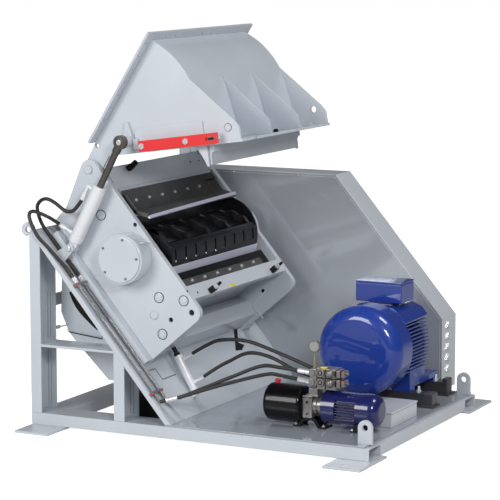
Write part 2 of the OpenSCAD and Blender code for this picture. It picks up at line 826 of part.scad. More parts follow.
module cradle_cylinder() {
    color("gainsboro") on_bed() {
        translate([cradle_cyl_s, cradle_cyl_y, cradle_cyl_w]) rotate([0, 90 + cradle_cyl_fall, 0]) {
            cylinder(r = cradle_cyl_r / 2, h = cradle_rod_len, $fn = round_fn);
            translate([0, 0, cradle_rod_len])
                cylinder(r = cradle_cyl_r, h = cradle_barrel_len, $fn = round_fn);
            for (z = cradle_ports) translate([0, 0, z]) rotate([0, -90, 0])
                cylinder(r = port_r, h = cradle_port_reach, $fn = round_fn);
        }
        translate([cradle_cyl_s + cradle_rod_len + cradle_barrel_len - 12, cradle_cyl_y - cradle_lug[1] / 2, bed_t])
            cube(cradle_lug);
    }
}

// ---- motor, its feet and its slide rails
cowl_y = base_depth - cowl_reach;
motor_z = deck_top + motor_rise;
motor_r = cowl_r - 30;
cowl_len = 220;
cowl_nose_len = 60;
cowl_nose_in = 84;
motor_len = 345;
end_shield_len = 45;
end_shield_in = 40;
shaft_hub_r = 90;
shaft_hub_len = 70;
motor_shaft_r = 38;
motor_end = cowl_y + cowl_len + motor_len;
rail_top = deck_top + rail_h;
rail_w = 80;
rail_left = 328;
rail_x = motor_x - rail_left;
front_rail = [549, 352];
back_rail = [172, 302];
rails = [for (rail = [front_rail, back_rail]) [base_depth - rail[0], motor_x + rail[1]]];
foot_in = 90;
foot_out = 210;
foot_h = 55;
foot_lift = 25;

module motor_body() {
    color("mediumblue") {
        bar_y(motor_x, cowl_y + cowl_len, motor_z, motor_r, motor_len);
        bar_y(motor_x, motor_end, motor_z, motor_r - end_shield_in, end_shield_len);
        bar_y(motor_x, motor_end + end_shield_len, motor_z, shaft_hub_r, shaft_hub_len);
        bar_y(motor_x, motor_end + end_shield_len + shaft_hub_len, motor_z, motor_shaft_r,
            base_depth + shaft_out - motor_end - end_shield_len - shaft_hub_len);
    }
}

module motor_cowl() {
    color("mediumblue") {
        bar_y(motor_x, cowl_y + cowl_nose_len, motor_z, cowl_r, cowl_len - cowl_nose_len);
        translate([motor_x, cowl_y, motor_z]) rotate([-90, 0, 0])
            cylinder(r1 = cowl_r - cowl_nose_in, r2 = cowl_r, h = cowl_nose_len, $fn = round_fn);
    }
}

box_w = 300;
box_l = 200;
box_h = 125;
box_back = 330;
box_y = cowl_y + box_back;
box_neck = 12;

module terminal_box() {
    color("navy") {
        translate([motor_x - box_w / 2, box_y, motor_z + motor_r + box_neck]) cube([box_w, box_l, box_h]);
        difference() {
            translate([motor_x - box_w / 4, box_y + box_l / 5, motor_z])
                cube([box_w / 2, 0.6 * box_l, motor_r + box_neck]);
            bar_y(motor_x, box_y, motor_z, motor_r, box_l);
        }
    }
}

// Each foot is a long bar from rail to rail, carrying a block under the motor's frame.
module motor_feet() {
    foot_w = foot_out - foot_in;
    front_y = rails[0][0];
    back_y = rails[1][0];
    for (x = [motor_x - foot_out, motor_x + foot_in]) color("navy") difference() {
        translate([x, front_y, rail_top]) union() {
            cube([foot_w, motor_end - front_y, motor_z - foot_in - rail_top]);
            cube([foot_w, back_y + rail_w - front_y, foot_h]);
        }
        bar_y(motor_x, front_y - 1, motor_z, motor_r, motor_end - front_y + 2);
        translate([x - 1, front_y + rail_w, rail_top - 1])
            cube([foot_w + 2, back_y - front_y - rail_w, foot_lift + 1]);
    }
}

module slide_rails() {
    for (rail = rails) color("dimgray")
        translate([rail_x, rail[0], deck_top]) cube([rail[1] - rail_x, rail_w, rail_h]);
}

// ---- belt guard: a closed sheet box behind the frame
guard_x0 = 215;
guard_x1 = motor_x + 201;
guard_z0 = 90;
guard_foot_in = 90;
guard_outline = [[guard_x1, guard_z0], [guard_x1, 544], [1245, guard_top], [guard_x0, guard_top],
    [guard_x0, 800], [300, 690], [bed_foot_x - guard_foot_in, guard_z0]];
shaft_room = 8;

module belt_guard() {
    color("gainsboro") difference() {
        along_y(base_depth, guard_depth) polygon(guard_outline);
        along_y(base_depth + guard_t, guard_depth - 2 * guard_t) polygon(inset(guard_outline, guard_t));
        bar_y(rotor_x, base_depth - 1, rotor_z, shaft_end_r + shaft_room, guard_t + 2);
        bar_y(motor_x, base_depth - 1, motor_z, motor_shaft_r + shaft_room, guard_t + 2);
    }
}

// ---- hydraulic power pack: its axis lies along X
pack_z = deck_top + pack_rise;
tank_x = 1410;
block_x = tank_x + tank_len;
block_len = 60;
block_half = 65;
adapter_len = 62;
pump_motor_x = block_x + block_len + adapter_len;
pump_motor_len = 352;
pump_motor_r = 98;
riser_h = 32;
valve_size = [246, 110, 133];
valve_in = 34;
valve_y = 285;
gauge_r = 34;
gauge_rise = 122;
gauge_x = 1729;
gauge_y = 300;

module bar_x(x, y, z, r, len) translate([x, y, z]) rotate([0, 90, 0]) cylinder(r = r, h = len, $fn = round_fn);

module oil_tank() {
    color("black") bar_x(tank_x, pack_y, pack_z, tank_r, tank_len);
    color("red") translate([tank_x + 68, pack_y, pack_z]) cylinder(r = 14, h = tank_r + 24, $fn = round_fn);
}

module pump_block() {
    color("silver") {
        translate([block_x, pack_y - block_half, pack_z - block_half])
            cube([block_len, 2 * block_half, 2 * block_half]);
        bar_x(block_x + block_len, pack_y, pack_z, block_half, adapter_len);
        translate([block_x + block_len - 32, pack_y - 40, pack_z + block_half]) cube([55, 80, pack_riser]);
    }
}

valve_z = pack_z + pump_motor_r + 4;
pack_riser = valve_z - pack_z - block_half;

module pump_motor() color("navy") bar_x(pump_motor_x, pack_y, pack_z, pump_motor_r, pump_motor_len);

block_foot_in = 10;
block_foot = [block_len + adapter_len - 2 * block_foot_in, 100];
motor_foot = [70, 120];
motor_foot_in = 200;
motor_foot_drop = 50;

module pack_feet() {
    color("black") translate([block_x + block_foot_in, pack_y - block_foot[1] / 2, deck_top])
        cube([block_foot[0], block_foot[1], pack_rise - block_half]);
    color("black") difference() {
        translate([pump_motor_x + motor_foot_in, pack_y - motor_foot[1] / 2, deck_top])
            cube([motor_foot[0], motor_foot[1], pack_rise - motor_foot_drop]);
        bar_x(pump_motor_x, pack_y, pack_z, pump_motor_r, pump_motor_len);
    }
}

module valve_block() color("silver") translate([block_x + valve_in, valve_y, valve_z]) cube(valve_size);

module pressure_gauge() {
    color("silver") bar_y(gauge_x, gauge_y - 12, valve_z + valve_size[2] + gauge_rise, gauge_r, 24);
    color("goldenrod") translate([gauge_x, gauge_y, valve_z + valve_size[2]])
        cylinder(r = 7, h = gauge_rise, $fn = round_fn);
}

control_box_in = 300;
control_box_y = 495;
control_box_size = [230, 385, 92];

module control_box()
    color("gainsboro") translate([base_len - control_box_in, control_box_y, deck_top]) cube(control_box_size);

// ---- oil pipes on the bed and the free hoses
pipe_r = 10;
pipe_w = 45;
pipe_ys = [35, 104];
pipe_s = [300, 1275];
clamp_ss = [425, 1213];

module oil_pipes() {
    color("silver") on_bed() {
        for (y = pipe_ys) translate([pipe_s[0], y, pipe_w]) rotate([0, 90, 0])
            cylinder(r = pipe_r, h = pipe_s[1] - pipe_s[0], $fn = round_fn);
        for (s = clamp_ss) translate([s - 10, 5, bed_t]) cube([20, 109, 2 * (pipe_w - bed_t)]);
    }
}

hose_sides = 10;
hose_long_route = [[870, 420, 444], [960, 435, 499], [1057, 435, 538], [1241, 420, 547], [1467, 400, 494],
    [1690, 380, 430]];
hose_middle_route = [[948, 420, 312], [1030, 435, 370], [1111, 440, 416], [1239, 430, 476], [1389, 415, 467],
    [1560, 400, 405], [1690, 380, 384]];
hose_upper_route = [[861, 104, 223], [950, 140, 243], [1090, 170, 305], [1235, 200, 370], [1408, 250, 443],
    [1520, 280, 440], [1690, 300, 424]];
hose_lower_route = [[861, 35, 223], [990, 60, 260], [1120, 105, 305], [1258, 150, 350], [1451, 230, 402],
    [1528, 260, 398], [1690, 300, 368]];
loop_left_route = [[234, 35, 970], [146, -5, 1080], [71, -22, 1161], [15, -15, 1263], [25, 10, 1297],
    [102, 50, 1264], [146, 105, 1218]];
loop_right_route = [[234, 104, 970], [117, 102, 1106], [30, 100, 1212], [0, 98, 1305], [25, 96, 1350],
    [70, 95, 1364], [123, 96, 1344], [184, 98, 1304], [213, 100, 1295], [253, 105, 1308], [301, 110, 1367]];

// A point at t on a smooth curve through the route's points, which it meets at t = 0, 1, 2 ...
function curve(route, t) = let (n = len(route) - 1, i = min(floor(t), n - 1), f = t - i,
    a = route[max(i - 1, 0)], b = route[i], c = route[i + 1], d = route[min(i + 2, n)])
    b + f * (c - a) / 2 + f * f * (2 * a - 5 * b + 4 * c - d) / 2 + f * f * f * (3 * b - a - 3 * c + d) / 2;

function unit(v) = v / norm(v);

module hose(route, rings) {
    at = [for (k = [0:rings - 1]) curve(route, (len(route) - 1) * k / (rings - 1))];
    along = [for (k = [0:rings - 1]) at[min(k + 1, rings - 1)] - at[max(k - 1, 0)]];
    side = [for (d = along) unit(cross(d, [0, 1, 0]))];
    over = [for (k = [0:rings - 1]) unit(cross(along[k], side[k]))];
    points = [for (k = [0:rings - 1]) for (j = [0:hose_sides - 1])
        at[k] + hose_r * (cos(360 * j / hose_sides) * side[k] + sin(360 * j / hose_sides) * over[k])];
    walls = [for (k = [0:rings - 2]) for (j = [0:hose_sides - 1]) let (i = (j + 1) % hose_sides)
        [k * hose_sides + i, k * hose_sides + j, (k + 1) * hose_sides + j, (k + 1) * hose_sides + i]];
    first = [for (j = [0:hose_sides - 1]) j];
    last = [for (j = [hose_sides - 1:-1:0]) (rings - 1) * hose_sides + j];
    color("dimgray") polyhedron(points, concat(walls, [first, last]));
}

module hose_long() hose(hose_long_route, 14);
module hose_middle() hose(hose_middle_route, 14);
module hose_upper() hose(hose_upper_route, 13);
module hose_lower() hose(hose_lower_route, 13);
module loop_hose_left() hose(loop_left_route, 12);
module loop_hose_right() hose(loop_right_route, 14);

long_beams();
cross_channels();
foot_plates();
deck_plate();
lifting_lugs();
left_frames();
bed_plate();
bed_bars();
discharge_housing();
side_plate_front();
side_plate_rear();
cross_beam();
knife_bars();
upper_wall();
screen_cradle();
lower_trough();
bearings();
bearing_cover();
rotor_body();
rotor_shaft();
rotor_knives();
hinge_pins();
hopper_sides();
hopper_ribs();
hopper_sheets();
hopper_flange();
inlet_flange();
locking_bar();
cylinder_boss();
cylinder_bracket();
hopper_cylinder();
hopper_cylinder_rod();
cradle_cylinder();
motor_body();
motor_cowl();
terminal_box();
motor_feet();
slide_rails();
belt_guard();
oil_tank();
pump_block();
pump_motor();
pack_feet();
valve_block();
pressure_gauge();
control_box();
oil_pipes();
hose_long();
hose_middle();
hose_upper();
hose_lower();
loop_hose_left();
loop_hose_right();
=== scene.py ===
import json
import math
import bpy
from mathutils import Matrix, Vector

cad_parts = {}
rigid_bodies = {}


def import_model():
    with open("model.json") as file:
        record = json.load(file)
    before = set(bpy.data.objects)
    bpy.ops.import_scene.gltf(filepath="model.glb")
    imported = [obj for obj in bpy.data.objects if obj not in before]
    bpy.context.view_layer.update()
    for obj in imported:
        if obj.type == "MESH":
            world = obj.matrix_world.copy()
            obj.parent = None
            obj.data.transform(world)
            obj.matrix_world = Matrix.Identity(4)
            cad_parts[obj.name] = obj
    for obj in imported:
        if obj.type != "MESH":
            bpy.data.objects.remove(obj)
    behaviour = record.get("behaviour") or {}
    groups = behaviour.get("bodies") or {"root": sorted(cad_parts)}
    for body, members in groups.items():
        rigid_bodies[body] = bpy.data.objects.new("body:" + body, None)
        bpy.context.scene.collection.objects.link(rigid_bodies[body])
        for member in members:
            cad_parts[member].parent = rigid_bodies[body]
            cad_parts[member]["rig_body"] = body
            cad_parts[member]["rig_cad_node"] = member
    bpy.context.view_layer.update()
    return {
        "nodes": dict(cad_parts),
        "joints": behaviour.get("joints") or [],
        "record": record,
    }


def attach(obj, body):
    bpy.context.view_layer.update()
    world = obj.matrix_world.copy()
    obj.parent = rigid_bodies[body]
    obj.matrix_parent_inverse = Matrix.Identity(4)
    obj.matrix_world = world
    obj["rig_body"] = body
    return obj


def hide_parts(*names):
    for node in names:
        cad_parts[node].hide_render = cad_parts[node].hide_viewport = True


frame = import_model()


# places and turns; sizes are in millimetres where no note says otherwise
def shift(x, y, z):
    return Matrix.Translation((x / 1000, y / 1000, z / 1000))


def turn(degrees, axis):
    return Matrix.Rotation(math.radians(degrees), 4, axis)


def linked(name, data):
    made = bpy.data.objects.new(name, data)
    bpy.context.scene.collection.objects.link(made)
    return made


def jointPlace(name):
    for joint in frame["joints"]:
        if joint["name"] == name:
            return Vector(joint["pos_m"]) * 1000


def spanOf(name):  # the low and the high corner of a CAD node
    corners = [[round(value * 1000, 2) for value in corner] for corner in frame["nodes"][name].bound_box]
    return Vector([min(row) for row in zip(*corners)]), Vector([max(row) for row in zip(*corners)])


layout = {"bedTilt": 50, "hopperTilt": -8, "cylinderTilt": 27.67, "rotorAlongBed": 472, "rotorOverBed": 358}
rotorPlace = jointPlace("rotor_spin")
hingePlace = jointPlace("hopper_hinge")
footPlace = jointPlace("cylinder_swing")
deckTop = spanOf("deck_plate")[1].z
upright = Matrix.Identity(4)
alongX = turn(90, "Y")
alongY = turn(-90, "X")
towardFront = turn(90, "X")
towardLeft = turn(-90, "Y")
onBed = (shift(rotorPlace.x, 0, rotorPlace.z) @ turn(layout["bedTilt"], "Y")
    @ shift(-layout["rotorAlongBed"], 0, -layout["rotorOverBed"]))
onHopper = shift(hingePlace.x, 0, hingePlace.z) @ turn(layout["hopperTilt"], "Y")
onCylinder = shift(footPlace.x, footPlace.y, footPlace.z) @ turn(layout["cylinderTilt"], "Y")


# camera, with its place and reach in metres
cameraSizes = {
    "place": (7.033, -11.110, 2.947), "azimuth": 26.62, "elevation": 8.19, "roll": -0.07,
    "lens": 160.58, "sensor": 36, "reach": 200,
}
cameraData = bpy.data.cameras.new("camera")
cameraData.lens = cameraSizes["lens"]
cameraData.sensor_width = cameraSizes["sensor"]
cameraData.clip_end = cameraSizes["reach"]
cameraObject = linked("camera", cameraData)
cameraObject.matrix_world = (Matrix.Translation(cameraSizes["place"]) @ turn(cameraSizes["azimuth"], "Z")
    @ turn(90 - cameraSizes["elevation"], "X") @ turn(cameraSizes["roll"], "Z"))
bpy.context.scene.camera = cameraObject


# materials: paint with a colour cloud, uneven gloss and a fine orange peel
plainLook = {
    "metallic": 0, "specular": 0.5, "coat": 0, "coatRoughness": 0.05, "stretch": (1, 1, 1),
    "cloud": 0.06, "cloudScale": 3, "cloudDetail": 4, "cloudLow": 0.3, "cloudHigh": 0.7,
    "grainScale": 260, "grainDetail": 3, "bump": 0.06, "bumpHeight": 0.0006, "glossSpread": 0.2,
}
lookSockets = {
    "metallic": "Metallic", "specular": "Specular IOR Level", "coat": "Coat Weight",
    "coatRoughness": "Coat Roughness",
}


def noise(tree, mapping, scale, detail):
    made = tree.nodes.new("ShaderNodeTexNoise")
    made.inputs["Scale"].default_value = scale
    made.inputs["Detail"].default_value = detail
    tree.links.new(mapping.outputs["Vector"], made.inputs["Vector"])
    return made.outputs["Fac"]


def surface(name, colour, roughness, changes):
    look = {**plainLook, **changes}
    material = bpy.data.materials.new(name)
    material.use_nodes = True
    tree = material.node_tree
    shader = tree.nodes["Principled BSDF"]
    for key, socket in lookSockets.items():
        shader.inputs[socket].default_value = look[key]
    place = tree.nodes.new("ShaderNodeTexCoord")
    mapping = tree.nodes.new("ShaderNodeMapping")
    mapping.inputs["Scale"].default_value = look["stretch"]
    tree.links.new(place.outputs["Object"], mapping.inputs["Vector"])
    cloud = noise(tree, mapping, look["cloudScale"], look["cloudDetail"])
    ramp = tree.nodes.new("ShaderNodeValToRGB")
    dark, light = ramp.color_ramp.elements
    dark.position = look["cloudLow"]
    dark.color = (*(value * (1 - look["cloud"]) for value in colour), 1)
    light.position = look["cloudHigh"]
    light.color = (*(min(1, value * (1 + look["cloud"])) for value in colour), 1)
    tree.links.new(cloud, ramp.inputs["Fac"])
    tree.links.new(ramp.outputs["Color"], shader.inputs["Base Color"])
    gloss = tree.nodes.new("ShaderNodeMapRange")
    gloss.inputs["To Min"].default_value = roughness * (1 - look["glossSpread"])
    gloss.inputs["To Max"].default_value = roughness * (1 + look["glossSpread"])
    tree.links.new(cloud, gloss.inputs["Value"])
    tree.links.new(gloss.outputs["Result"], shader.inputs["Roughness"])
    bump = tree.nodes.new("ShaderNodeBump")
    bump.inputs["Strength"].default_value = look["bump"]
    bump.inputs["Distance"].default_value = look["bumpHeight"]
    tree.links.new(noise(tree, mapping, look["grainScale"], look["grainDetail"]), bump.inputs["Height"])
    tree.links.new(bump.outputs["Normal"], shader.inputs["Normal"])
    return material


looks = {  # a colour, a roughness, and what differs from the plain look
    "greyPaint": ((0.56, 0.60, 0.65), 0.34, {"coat": 0.35, "cloud": 0.03}),
    "sheetPaint": ((0.52, 0.56, 0.62), 0.3, {"coat": 0.4, "cloud": 0.04}),
    # darker copy of the grey paint on the deck's top: painted shade on an upward face
    "deckShadedPaint": ((0.34, 0.37, 0.42), 0.16, {"coat": 0.6, "cloud": 0.05}),
    # darker copy of the grey paint for the guard's front sheets: painted shade and dark reflection
    "guardShadedPaint": ((0.46, 0.49, 0.53), 0.1, {
        "metallic": 0.18, "coat": 0.6, "coatRoughness": 0.02, "cloud": 0.04,
    }),
    "trayPaint": ((0.62, 0.66, 0.70), 0.3, {"coat": 0.4, "cloud": 0.03}),
    "darkSteel": ((0.04, 0.04, 0.043), 0.36, {"metallic": 0.6, "cloud": 0.3, "cloudScale": 14, "bump": 0.2}),
    "clampSteel": ((0.085, 0.084, 0.083), 0.4, {
        "metallic": 0.3, "cloud": 0.2, "cloudScale": 12, "bump": 0.15,
    }),
    "rotorSteel": ((0.016, 0.016, 0.019), 0.3, {
        "metallic": 0.4, "cloud": 0.35, "cloudScale": 12, "bump": 0.15,
    }),
    # lavender tint of the knives, raised near white as a painted reflection
    "knifeSteelPaintedReflection": ((0.80, 0.81, 1.0), 0.3, {"metallic": 0.1, "stretch": (1, 0.1, 1), "bump": 0.12}),
    "platedSteel": ((0.24, 0.23, 0.22), 0.3, {"metallic": 0.6, "cloud": 0.12, "bump": 0.1}),
    "pipeSteel": ((0.30, 0.31, 0.33), 0.22, {"metallic": 0.7, "cloud": 0.08, "bump": 0.04}),
    "barrelPaint": ((0.74, 0.76, 0.79), 0.3, {"coat": 0.5, "cloud": 0.03}),
    "seamShade": ((0.16, 0.17, 0.19), 0.5, {"cloud": 0.1}),
    "tealCap": ((0.01, 0.22, 0.28), 0.4, {"cloud": 0.1}),
    "brightSteel": ((0.78, 0.78, 0.80), 0.2, {"metallic": 0.6, "cloud": 0.05, "bump": 0.05}),
    "rodSteel": ((0.085, 0.078, 0.07), 0.36, {"metallic": 0.3, "cloud": 0.1, "bump": 0.06}),
    "redPaint": ((0.74, 0.018, 0.022), 0.32, {"coat": 0.4, "cloud": 0.05}),
    "bluePaint": ((0.010, 0.040, 0.29), 0.35, {
        "specular": 0.3, "coat": 1, "coatRoughness": 0.02, "cloud": 0.05, "bump": 0.01,
    }),
    "navyPaint": ((0.007, 0.010, 0.095), 0.3, {
        "specular": 0.3, "coat": 0.9, "coatRoughness": 0.03, "cloud": 0.12, "bump": 0.01,
    }),
    "blackPaint": ((0.002, 0.002, 0.003), 0.3, {
        "specular": 0.2, "coat": 0.35, "coatRoughness": 0.05, "cloud": 0.2, "bump": 0.01,
    }),
    "blackSteel": ((0.005, 0.005, 0.006), 0.45, {"specular": 0.25, "cloud": 0.2}),
    "hoseRubber": ((0.020, 0.019, 0.018), 0.42, {"cloud": 0.2, "grainScale": 500, "bump": 0.25}),
    "railPaint": ((0.045, 0.045, 0.05), 0.32, {"coat": 0.3, "cloud": 0.1}),
    "brass": ((0.30, 0.27, 0.18), 0.35, {"metallic": 0.6, "cloud": 0.1}),
    "yellowTag": ((0.75, 0.66, 0.01), 0.4, {"cloud": 0.06}),
    "dialFace": ((0.30, 0.30, 0.28), 0.4, {"coat": 0.3, "cloud": 0.03}),
}
paints = {name: surface(name, *look) for name, look in looks.items()}


# modelling helpers
def free():
    if bpy.context.object and bpy.context.object.mode != "OBJECT":
        bpy.ops.object.mode_set(mode="OBJECT")
    bpy.ops.object.select_all(action="DESELECT")


def pick(*objects):
    free()
    for one in objects:
        one.select_set(True)
    bpy.context.view_layer.objects.active = objects[0]
    return objects[0]


def settled(piece):
    pick(piece)
    bpy.ops.object.transform_apply(location=True, rotation=True, scale=True)
    return piece


def bevelled(piece, width, segments=2, angle=32):
    pick(piece)
    edge = piece.modifiers.new("edge", "BEVEL")
    edge.width = width / 1000
    edge.segments = segments
    edge.limit_method = "ANGLE"
    edge.angle_limit = math.radians(angle)
    edge.use_clamp_overlap = True
    bpy.ops.object.modifier_apply(modifier="edge")
    return piece


def smooth(piece, angle=35):
    pick(piece)
    bpy.ops.object.shade_smooth_by_angle(angle=math.radians(angle))
    flat = piece.modifiers.new("flat", "WEIGHTED_NORMAL")  # large faces stay flat between their broken edges
    flat.keep_sharp = True
    bpy.ops.object.modifier_apply(modifier="flat")
    return piece


def block(low, high, place=upright, edge=2.0, segments=2):
    low, high = Vector(low) / 1000, Vector(high) / 1000
    free()
    bpy.ops.mesh.primitive_cube_add(size=1, location=(low + high) / 2, scale=high - low)
    made = settled(bpy.context.object)
    if edge:
        bevelled(made, edge, segments)
    made.data.transform(place)
    return made


def blocks(table, place=upright):  # rows of a low corner, a high corner, the edge and at times its segments
    return [block(low, high, place, *rest) for low, high, *rest in table.values()]


def extruded(made, outward):  # pushes out the face of a new flat piece and turns all faces outward
    bpy.ops.object.mode_set(mode="EDIT")
    bpy.ops.mesh.select_all(action="SELECT")
    outward()
    bpy.ops.mesh.select_all(action="SELECT")
    bpy.ops.mesh.normals_make_consistent(inside=False)
    bpy.ops.object.mode_set(mode="OBJECT")
    return made


def turned(rings, place=upright, sides=32, edge=0):  # rings are radius and height, from the foot up
    def rise():
        for low, high in zip(rings, rings[1:]):
            move = {"value": (0, 0, (high[1] - low[1]) / 1000)}
            bpy.ops.mesh.extrude_region_move(TRANSFORM_OT_translate=move)
            share = high[0] / low[0]
            bpy.ops.transform.resize(value=(share, share, 1), center_override=(0, 0, high[1] / 1000))

    free()
    radius, foot = rings[0]
    bpy.ops.mesh.primitive_circle_add(
        vertices=sides, radius=radius / 1000, fill_type="NGON", location=(0, 0, foot / 1000))
    made = extruded(settled(bpy.context.object), rise)
    if edge:
        bevelled(made, edge)
    made.data.transform(place)
    return made


def plate(outline, low, high, place=upright, edge=1.5):  # an outline in X and Z, from low to high along Y
    def push():
        bpy.ops.mesh.extrude_region_move(TRANSFORM_OT_translate={"value": (0, (high - low) / 1000, 0)})

    free()
    bpy.ops.mesh.primitive_circle_add(vertices=len(outline), radius=1, fill_type="NGON")
    made = bpy.context.object
    for point, (x, z) in zip(made.data.vertices, outline):
        point.co = (x / 1000, low / 1000, z / 1000)
    extruded(made, push)
    if edge:
        bevelled(made, edge)
    made.data.transform(place)
    return made


def plates(table, place=upright):  # rows of an outline, where it starts and ends along Y, and the edge
    return [plate(outline, low, high, place, *rest) for outline, low, high, *rest in table.values()]


def slab(outline, low, high, place=upright, edge=1.5):  # an outline in X and Y, from low to high along Z
    return plate([(x, -y) for x, y in outline], low, high, place @ towardFront, edge)


def disc(x, y, z, radius, length, place=upright, sides=32, edge=1.0):  # along Y, from y to y + length
    return turned([(radius, 0), (radius, length)], place @ shift(x, y, z) @ alongY, sides, edge)


def arc(radius, first, last, steps):  # points of an arc round the origin, in degrees
    angles = [math.radians(first + (last - first) * k / steps) for k in range(steps + 1)]
    return [(radius * math.cos(angle), radius * math.sin(angle)) for angle in angles]


def cut(piece, *cutters):
    for cutter in cutters:
        pick(piece)
        taken = piece.modifiers.new("cut", "BOOLEAN")
        taken.operation = "DIFFERENCE"
        taken.solver = "EXACT"
        taken.object = cutter
        bpy.ops.object.modifier_apply(modifier="cut")
        bpy.data.objects.remove(cutter)
    return piece


def joined(pieces):
    first = pick(*pieces)
    if len(pieces) > 1:
        bpy.ops.object.join()
    return first


def fused(pieces, angle=35):
    return smooth(joined(pieces), angle)


def twin(source):  # a copy with a mesh of its own
    made = source.copy()
    made.data = source.data.copy()
    bpy.context.scene.collection.objects.link(made)
    return made


def copied(piece, places):  # copies of one piece at these places, as one mesh
    made = [twin(piece) for place in places]
    for one, place in zip(made, places):
        one.data.transform(place)
    bpy.data.objects.remove(piece)
    return joined(made)


def studs(rings, places, sides=6):  # one turned piece at each of these places
    return copied(turned(rings, upright, sides), places)


record = frame["record"]
bodyOf = {node: body for body, members in record["behaviour"]["bodies"].items() for node in members}


def kept(piece, name, paint, node=None, body="base"):  # a piece for a node rides as the node does
    piece.name = name
    piece.data.name = name
    piece.data.materials.clear()
    piece.data.materials.append(paints[paint])
    for face in piece.data.polygons:
        face.material_index = 0
    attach(piece, bodyOf[node] if node else body)
    if node:
        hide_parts(node)


def repainted(piece, paint, chosen):  # a second paint on the chosen faces
    piece.data.materials.append(paints[paint])
    for face in piece.data.polygons:
        face.material_index = int(chosen(face))


def dressed(name, width, flatAngle=0.8):  # a CAD node's shape with its edges broken
    made = twin(frame["nodes"][name])
    made.parent = None
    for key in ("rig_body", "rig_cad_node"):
        if key in made:
            del made[key]
    pick(made)
    bpy.ops.object.mode_set(mode="EDIT")
    bpy.ops.mesh.select_all(action="SELECT")
    bpy.ops.mesh.remove_doubles(threshold=0.00002)
    bpy.ops.mesh.customdata_custom_splitnormals_clear()
    bpy.ops.mesh.dissolve_limited(angle_limit=math.radians(flatAngle))
    bpy.ops.mesh.normals_make_consistent(inside=False)
    bpy.ops.object.mode_set(mode="OBJECT")
    return bevelled(made, width, 2, 35)


print("helpers ready")


# free hoses, along the same points as their CAD solids
hoseSizes = {"radius": 11, "rings": 60, "sides": 16}
hoseRoutes = {
    "hose_long": [
        (870, 420, 444), (960, 435, 499), (1057, 435, 538), (1241, 420, 547), (1467, 400, 494),
        (1690, 380, 430)],
    "hose_middle": [
        (948, 420, 312), (1030, 435, 370), (1111, 440, 416), (1239, 430, 476), (1389, 415, 467),
        (1560, 400, 405), (1690, 380, 384)],
    "hose_upper": [
        (861, 104, 223), (950, 140, 243), (1090, 170, 305), (1235, 200, 370), (1408, 250, 443),
        (1520, 280, 440), (1690, 300, 424)],
    "hose_lower": [
        (861, 35, 223), (990, 60, 260), (1120, 105, 305), (1258, 150, 350), (1451, 230, 402),
        (1528, 260, 398), (1690, 300, 368)],
    "loop_hose_left": [
        (234, 35, 970), (146, -5, 1080), (71, -22, 1161), (15, -15, 1263), (25, 10, 1297),
        (102, 50, 1264), (146, 105, 1218)],
    "loop_hose_right": [
        (234, 104, 970), (117, 102, 1106), (30, 100, 1212), (0, 98, 1305), (25, 96, 1350), (70, 95, 1364),
        (123, 96, 1344), (184, 98, 1304), (213, 100, 1295), (253, 105, 1308), (301, 110, 1367)],
}


def along(route, rings):  # points in metres on a smooth line through the route
    points = []
    last = len(route) - 1
    for k in range(rings):
        t = last * k / (rings - 1)
        i = min(int(t), last - 1)
        f = t - i
        a, b, c, d = (Vector(route[j]) / 1000 for j in (max(i - 1, 0), i, i + 1, min(i + 2, last)))
        bend = f * f * (2 * a - 5 * b + 4 * c - d) / 2 + f ** 3 * (3 * b - a - 3 * c + d) / 2
        points.append(b + f * (c - a) / 2 + bend)
    return points


def tube(points, radius, sides):
    data = bpy.data.curves.new("line", "CURVE")
    data.dimensions = "3D"
    line = data.splines.new("POLY")
    line.points.add(len(points) - 1)
    for point, co in zip(line.points, points):
        point.co = (*co, 1)
    data.bevel_depth = radius / 1000
    data.bevel_resolution = max(1, sides // 4 - 1)
    data.use_fill_caps = True
    pick(linked("line", data))
    bpy.ops.object.convert(target="MESH")
    return smooth(bpy.context.object, 50)


def length(points):
    return sum((b - a).length for a, b in zip(points, points[1:]))


hoseLines = {name: along(route, hoseSizes["rings"]) for name, route in hoseRoutes.items()}
for hoseName, line in hoseLines.items():
    hose = tube(line, hoseSizes["radius"], hoseSizes["sides"])
    kept(hose, hoseName + "_rubber", "hoseRubber", hoseName)

# hose ends, the pipes' nuts and sleeves
fittings = {
    "pipesAcross": (35, 104), "pipesOver": 45, "nutsAlong": 372, "sleevesAlong": 296, "sides": 20,
    "nut": [(12, 0), (15, 2), (15, 22), (12, 23), (12, 27), (14, 28), (14, 62), (11, 65)],
    "sleeve": [(11, -8), (12.5, 2), (12.5, 76), (11, 77)],
    "pipeFerrule": 15, "valveFerrule": 16, "pipeFerruleAt": 4,
}


def ferrule(line, size):  # a crimped sleeve and a nut round the first stretch of a line
    facing = (line[4] - line[0]).to_track_quat("Z", "Y").to_matrix().to_4x4()
    nut = [(12, -6), (16, -4), (16, 14), (12, 15), (12, 20)]
    crimp = [(size, 22), (size, 62), (size - 3, 66), (11.2, 66)]
    return turned(nut + crimp, Matrix.Translation(line[0]) @ facing, fittings["sides"])


def onPipes(rings, start):
    places = [onBed @ shift(start, y, fittings["pipesOver"]) @ alongX for y in fittings["pipesAcross"]]
    return studs(rings, places, fittings["sides"])


lowLines = [hoseLines["hose_upper"], hoseLines["hose_lower"]]
ferrules = [ferrule(line[fittings["pipeFerruleAt"]:], fittings["pipeFerrule"]) for line in lowLines]
ferrules += [ferrule(line[::-1], fittings["valveFerrule"]) for line in lowLines]
ferrules.append(onPipes(fittings["nut"], fittings["nutsAlong"]))
kept(smooth(onPipes(fittings["sleeve"], fittings["sleevesAlong"])), "pipe_sleeves", "hoseRubber")

# coloured caps of the two pipe clamps
pipeClamps = {
    "along": (425, 1213), "over": 45, "stepAlong": 6, "stepOver": 7, "capRadius": 5, "frontCap": 6,
    "topCap": [(5, 60), (5, 66)], "redAcross": (20, 88), "tealAcross": (54, 110),
}


